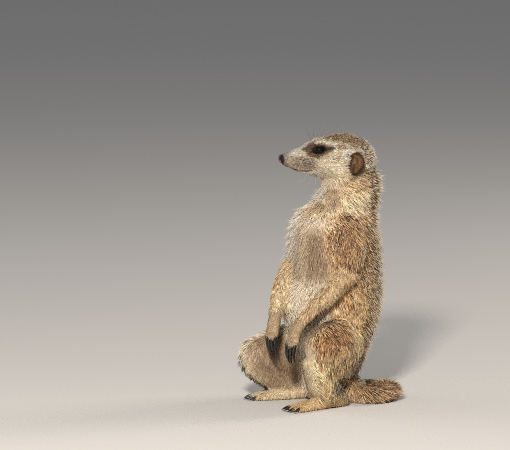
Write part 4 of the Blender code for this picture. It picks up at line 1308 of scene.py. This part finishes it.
# The nose pad's colours: in front, on top, below, between its pebbles and, as painted shade, in the nostrils
NOSE_FRONT, NOSE_TOP, NOSE_BELOW = (0.16, 0.135, 0.12), (0.03, 0.025, 0.024), (0.36, 0.11, 0.05)
NOSE_GAPS, NOSTRIL_SHADE = (0.022, 0.017, 0.017), (0.006, 0.003, 0.003)
# The groove down the pad's middle: how deep and how wide it is
NOSE_GROOVE = (0.45, 0.35)
# The two hollows of a nostril, its round opening and the slit behind it, each with its place, its
# half size and the share of it that is fully sunk; and how far that is: back, out and up
NOSTRIL = (((-2.3, 2.4, 0.1), (1.6, 1.2, 1.15), 0.45), ((-0.2, 3.5, -0.5), (2.2, 1.2, 0.65), 0.4))
NOSTRIL_DEEP = (1.1, -0.99, 0.0)


def nose_colour(tree, shader):
    """Pebbles with darker gaps, and nearly black in the nostrils, which is painted shade."""
    pebbles = grained(tree, shader, "TexVoronoi", "Distance", 0.6, 0.0002, Scale=2200.0)
    gaps = between(tree, pebbles, 0.2, 0.6, 0.0, 0.6)
    colour = blend(tree, stored(tree, "tint", "Color"), NOSE_GAPS, gaps)
    return blend(tree, colour, NOSTRIL_SHADE, stored(tree, "dark"))


def add_nose():
    """The nose pad: pebbled, with a groove down its middle and a comma-shaped nostril on each side."""
    rings = ball_rings(64, 80)
    centre = in_head(middle("nose")[None])[0] + (0.15, 0.0, 0.0)
    direction = rings.reshape(-1, 3)
    shape = np.sign(direction) * np.abs(direction) ** 0.86 * NOSE_HALF
    shape[:, 1] *= 1 - 0.14 * ramp(shape[:, 2], -0.5, -3.5)
    front = ramp(shape[:, 0], 1.0, -1.5) * ramp(shape[:, 2], 2.6, 0.8)
    shape[:, 0] += NOSE_GROOVE[0] * bell(shape[:, 1], NOSE_GROOVE[1]) * front
    dark = np.zeros(len(shape))
    for _, sign in SIDES:
        mirror = np.array((1, sign, 1))
        hole = np.zeros(len(shape))
        for place, half, full in NOSTRIL:
            hole = np.maximum(hole, ramp(size_of((shape - place * mirror) / half), 1.0, full))
        shape += hole[:, None] * (NOSTRIL_DEEP * mirror)
        dark = np.maximum(dark, hole)
    mesh = grid_mesh("nose_pad", from_head(shape + centre).reshape(rings.shape))
    # How far each point lies in a nostril, where painted shade darkens it
    store(mesh, "dark", "FLOAT", dark)
    below = ramp(shape[:, 2], -0.4, -2.0) * ramp(shape[:, 0], 1.5, -0.5)
    tint = mix(NOSE_FRONT, NOSE_TOP, ramp(shape[:, 2], 0.8, 2.4))
    store(mesh, "tint", "FLOAT_COLOR", mix(tint, NOSE_BELOW, below * 0.8))
    add_piece("nose_pad", mesh, material_of("nose", nose_colour, 0.32, 0.5), "nose", "nose")


# A claw is narrower than it is deep by this share, as in its CAD solid, and a little thinner than it
CLAW_NARROW, CLAW_THINNER = 0.60, 0.88


def claw_rings(points, root, count=18, sides=14):
    """Smooth rings along a claw: its bowed middle line and its thickness, fitted to its CAD solid."""
    tip = points[size_of(points - root).argmax()]
    start = points[size_of(points - tip).argmax()]
    size = size_of(tip - start)
    long = (tip - start) / size
    run = (points - start) @ long / size
    off = (points - start) - (run * size)[:, None] * long
    bow = np.linalg.svd(off - off.mean(axis=0), full_matrices=False)[2][0]
    wide = np.cross(long, bow)
    a, b = off @ bow, off @ wide
    middle_a, middle_b = np.polyfit(run, a, 3), np.polyfit(run, b, 2)
    around = np.hypot(a - np.polyval(middle_a, run), (b - np.polyval(middle_b, run)) / CLAW_NARROW)
    thick = np.polyfit(run, around, 3)
    t = np.linspace(0.0, 1.0, count)
    radius = CLAW_THINNER * np.maximum(np.polyval(thick, t), 0.1) * ramp(t, 1.12, 0.7)
    angle = np.linspace(0, 2 * math.pi, sides, endpoint=False)[:, None]
    t = t[:, None]
    centre = start + t * size * long + np.polyval(middle_a, t) * bow + np.polyval(middle_b, t) * wide
    ring = np.cos(angle) * bow + np.sin(angle) * wide * CLAW_NARROW
    return centre[:, None] + ring * radius[:, None, None]


HORN_DARK, HORN_LIGHT = (0.010, 0.009, 0.009), (0.050, 0.040, 0.032)


def horn_colour(tree, shader):
    """Dark horn, finely streaked."""
    noise = grained(tree, shader, "TexNoise", "Fac", 0.3, 0.0001, Scale=700.0, Detail=4.0)
    return blend(tree, HORN_DARK, HORN_LIGHT, between(tree, noise, 0.42, 0.72))


def add_claws():
    material = material_of("claw", horn_colour, 0.30, 0.45)
    for name in named("claw_"):
        limb = name.removeprefix("claw_").rsplit("_", 1)[0]
        rings = claw_rings(arrays_of(NODES[name].data)[0], middle(limb))
        add_piece("fine_" + name, grid_mesh("fine_" + name, rings), material, "claw", name)


# A whisker's rings, how much thinner it ends than it starts, and how much of it is under the skin
WHISKER_RINGS, WHISKER_TAPER, WHISKER_SUNK = 9, 0.85, 0.05


def whisker(root, tip, sag, width):
    """Rings of a thin hair from root to tip, bowed by sag."""
    way = unit(tip - root)
    side = unit(np.cross(way, UP + 0.01))
    top = np.cross(side, way)
    rings = []
    for t in np.linspace(0, 1, WHISKER_RINGS):
        centre = root + (tip - root) * t + sag * 4 * t * (1 - t)
        size = width * (1 - WHISKER_TAPER * t)
        rings += [centre + (side * math.cos(a) + top * math.sin(a)) * size for a in (0.0, 2.094, 4.189)]
    return np.array(rings)


# Whiskers, each as a root and how far its tip goes from it: back, out and up
BROW = [((31 + 2.6 * k, 14.5, 16.0 - 0.2 * k), (-7 + 5.5 * k, 3.0, 12.5 + 2.0 * (k % 2))) for k in range(5)]
CHIN = [((25 + 3.6 * k, 9.0, -14.5), (-10 + 4.5 * k, 3.0 + 1.5 * k, -12.0 - 3.0 * (k % 2))) for k in range(4)]
CHEEK = [((9.5 + 3.7 * p + 1.2 * (r % 2), 9.0 + 0.8 * p, -6.6 + 2.15 * r),
          (8 + 1.5 * p, 11 + 1.5 * p, -7.0 + 1.5 * r)) for r in range(4) for p in range(1, 6)]
# For each group of whiskers: its tone, how thick they are, and how far they bow towards the back of
# the head and upwards, as shares of their length
GROUPS = {
    "brow": (BROW, "dark", 0.11, -0.10, 0.0),
    "chin": (CHIN, "pale", 0.09, 0.14, 0.0),
    "cheek": (CHEEK, "dark", 0.09, 0.0, 0.10),
}
TONES = {"dark": (0.02, 0.015, 0.012), "pale": (0.55, 0.48, 0.38)}


def add_whiskers():
    tree = tree_of(skin_points, skin_faces)
    materials = {tone: material_of("whisker_" + tone, colour, 0.4, 0.3) for tone, colour in TONES.items()}
    last = 3 * (WHISKER_RINGS - 1)
    ends = [(2, 1, 0), (last, last + 1, last + 2)]
    one = np.array(in_triangles(quads_between(WHISKER_RINGS, 3)) + ends)
    for name, (whiskers, tone, width, bow_back, bow_up) in GROUPS.items():
        points, faces = [], []
        for place, reach in whiskers:
            for _, sign in SIDES:
                mirror = np.array((1.0, sign, 1.0))
                root = np.array(tree.find_nearest(Vector(from_head(place * mirror)))[0])
                away = (np.array(reach) * rng.uniform(0.8, 1.2)) * mirror @ HEAD_AXES
                bow = (UP * bow_up + HEAD_BACK * bow_back) * size_of(away)
                faces.append(one + sum(map(len, points)))
                points.append(whisker(root - away * WHISKER_SUNK, root + away, bow, width))
        mesh = mesh_of("whiskers_" + name, np.concatenate(points), np.concatenate(faces))
        add_piece("whiskers_" + name, mesh, materials[tone], tone + "_coat")


add_eyes()
add_nose()
add_claws()
add_whiskers()

# ---------------------------------------------------------------- floor, camera and light

CAMERA_AZIMUTH, CAMERA_ELEVATION = math.radians(45.0), math.radians(8.0)
CAMERA_DISTANCE, VIEW_WIDTH, SENSOR = 4.0, 0.4636, 36.0
AIM = Vector((-0.0417, -0.0408, 0.1616))
LIGHT_AIM = Vector((0.0, 0.0, 0.13))
FLOOR_HALF, FLOOR_COLOUR = 12.0, (0.62, 0.58, 0.53)
SKY_COLOUR, SKY_POWER = (0.80, 0.85, 0.95, 1.0), 0.28
# The lamps: place, side, power and colour
LAMPS = {
    "key": ((0.86, -1.18, 0.98), 0.20, 34.0, (1.0, 0.965, 0.91)),
    "fill": ((-1.5, -0.7, 0.8), 1.2, 6.0, (0.94, 0.97, 1.0)),
    "rim": ((0.5, 1.5, 1.1), 0.6, 13.0, (1.0, 0.97, 0.92)),
}


def aim_at(obj, target):
    obj.rotation_euler = (target - obj.location).to_track_quat("-Z", "Y").to_euler()


def add_camera():
    data = bpy.data.cameras.new("camera")
    camera = object_of("camera", data)
    level = math.cos(CAMERA_ELEVATION)
    x, y = math.sin(CAMERA_AZIMUTH) * level, -math.cos(CAMERA_AZIMUTH) * level
    camera.location = AIM + Vector((x, y, math.sin(CAMERA_ELEVATION))) * CAMERA_DISTANCE
    aim_at(camera, AIM)
    data.sensor_width = SENSOR
    data.lens = SENSOR * CAMERA_DISTANCE / VIEW_WIDTH
    data.clip_start, data.clip_end = 0.1, 60.0
    bpy.context.scene.camera = camera


def add_floor():
    mesh = bpy.data.meshes.new("floor")
    corners = [(x * FLOOR_HALF, y * FLOOR_HALF, 0) for x, y in ((-1, -1), (1, -1), (1, 1), (-1, 1))]
    mesh.from_pydata(corners, [], [(0, 1, 2, 3)])
    object_of("floor", mesh, material_of("floor", FLOOR_COLOUR, 0.9, 0.1))


def add_light():
    for name, (place, side, power, colour) in LAMPS.items():
        data = bpy.data.lights.new(name, "AREA")
        data.shape = "RECTANGLE"
        data.size = data.size_y = side
        data.energy = power
        data.color = colour
        light = object_of(name, data)
        light.location = place
        aim_at(light, LIGHT_AIM)
    world = bpy.data.worlds.new("world")
    bpy.context.scene.world = world
    world.use_nodes = True
    sky = world.node_tree.nodes["Background"]
    sky.inputs["Color"].default_value = SKY_COLOUR
    sky.inputs["Strength"].default_value = SKY_POWER


def set_render():
    view, cycles = bpy.context.scene.view_settings, bpy.context.scene.cycles
    view.view_transform = "Standard"
    view.look = "None"
    view.exposure = 0.0
    cycles.max_bounces = 6
    cycles.diffuse_bounces = 3
    cycles.use_denoising = False
    cycles.filter_width = 0.9


add_floor()
add_camera()
add_light()
set_render()
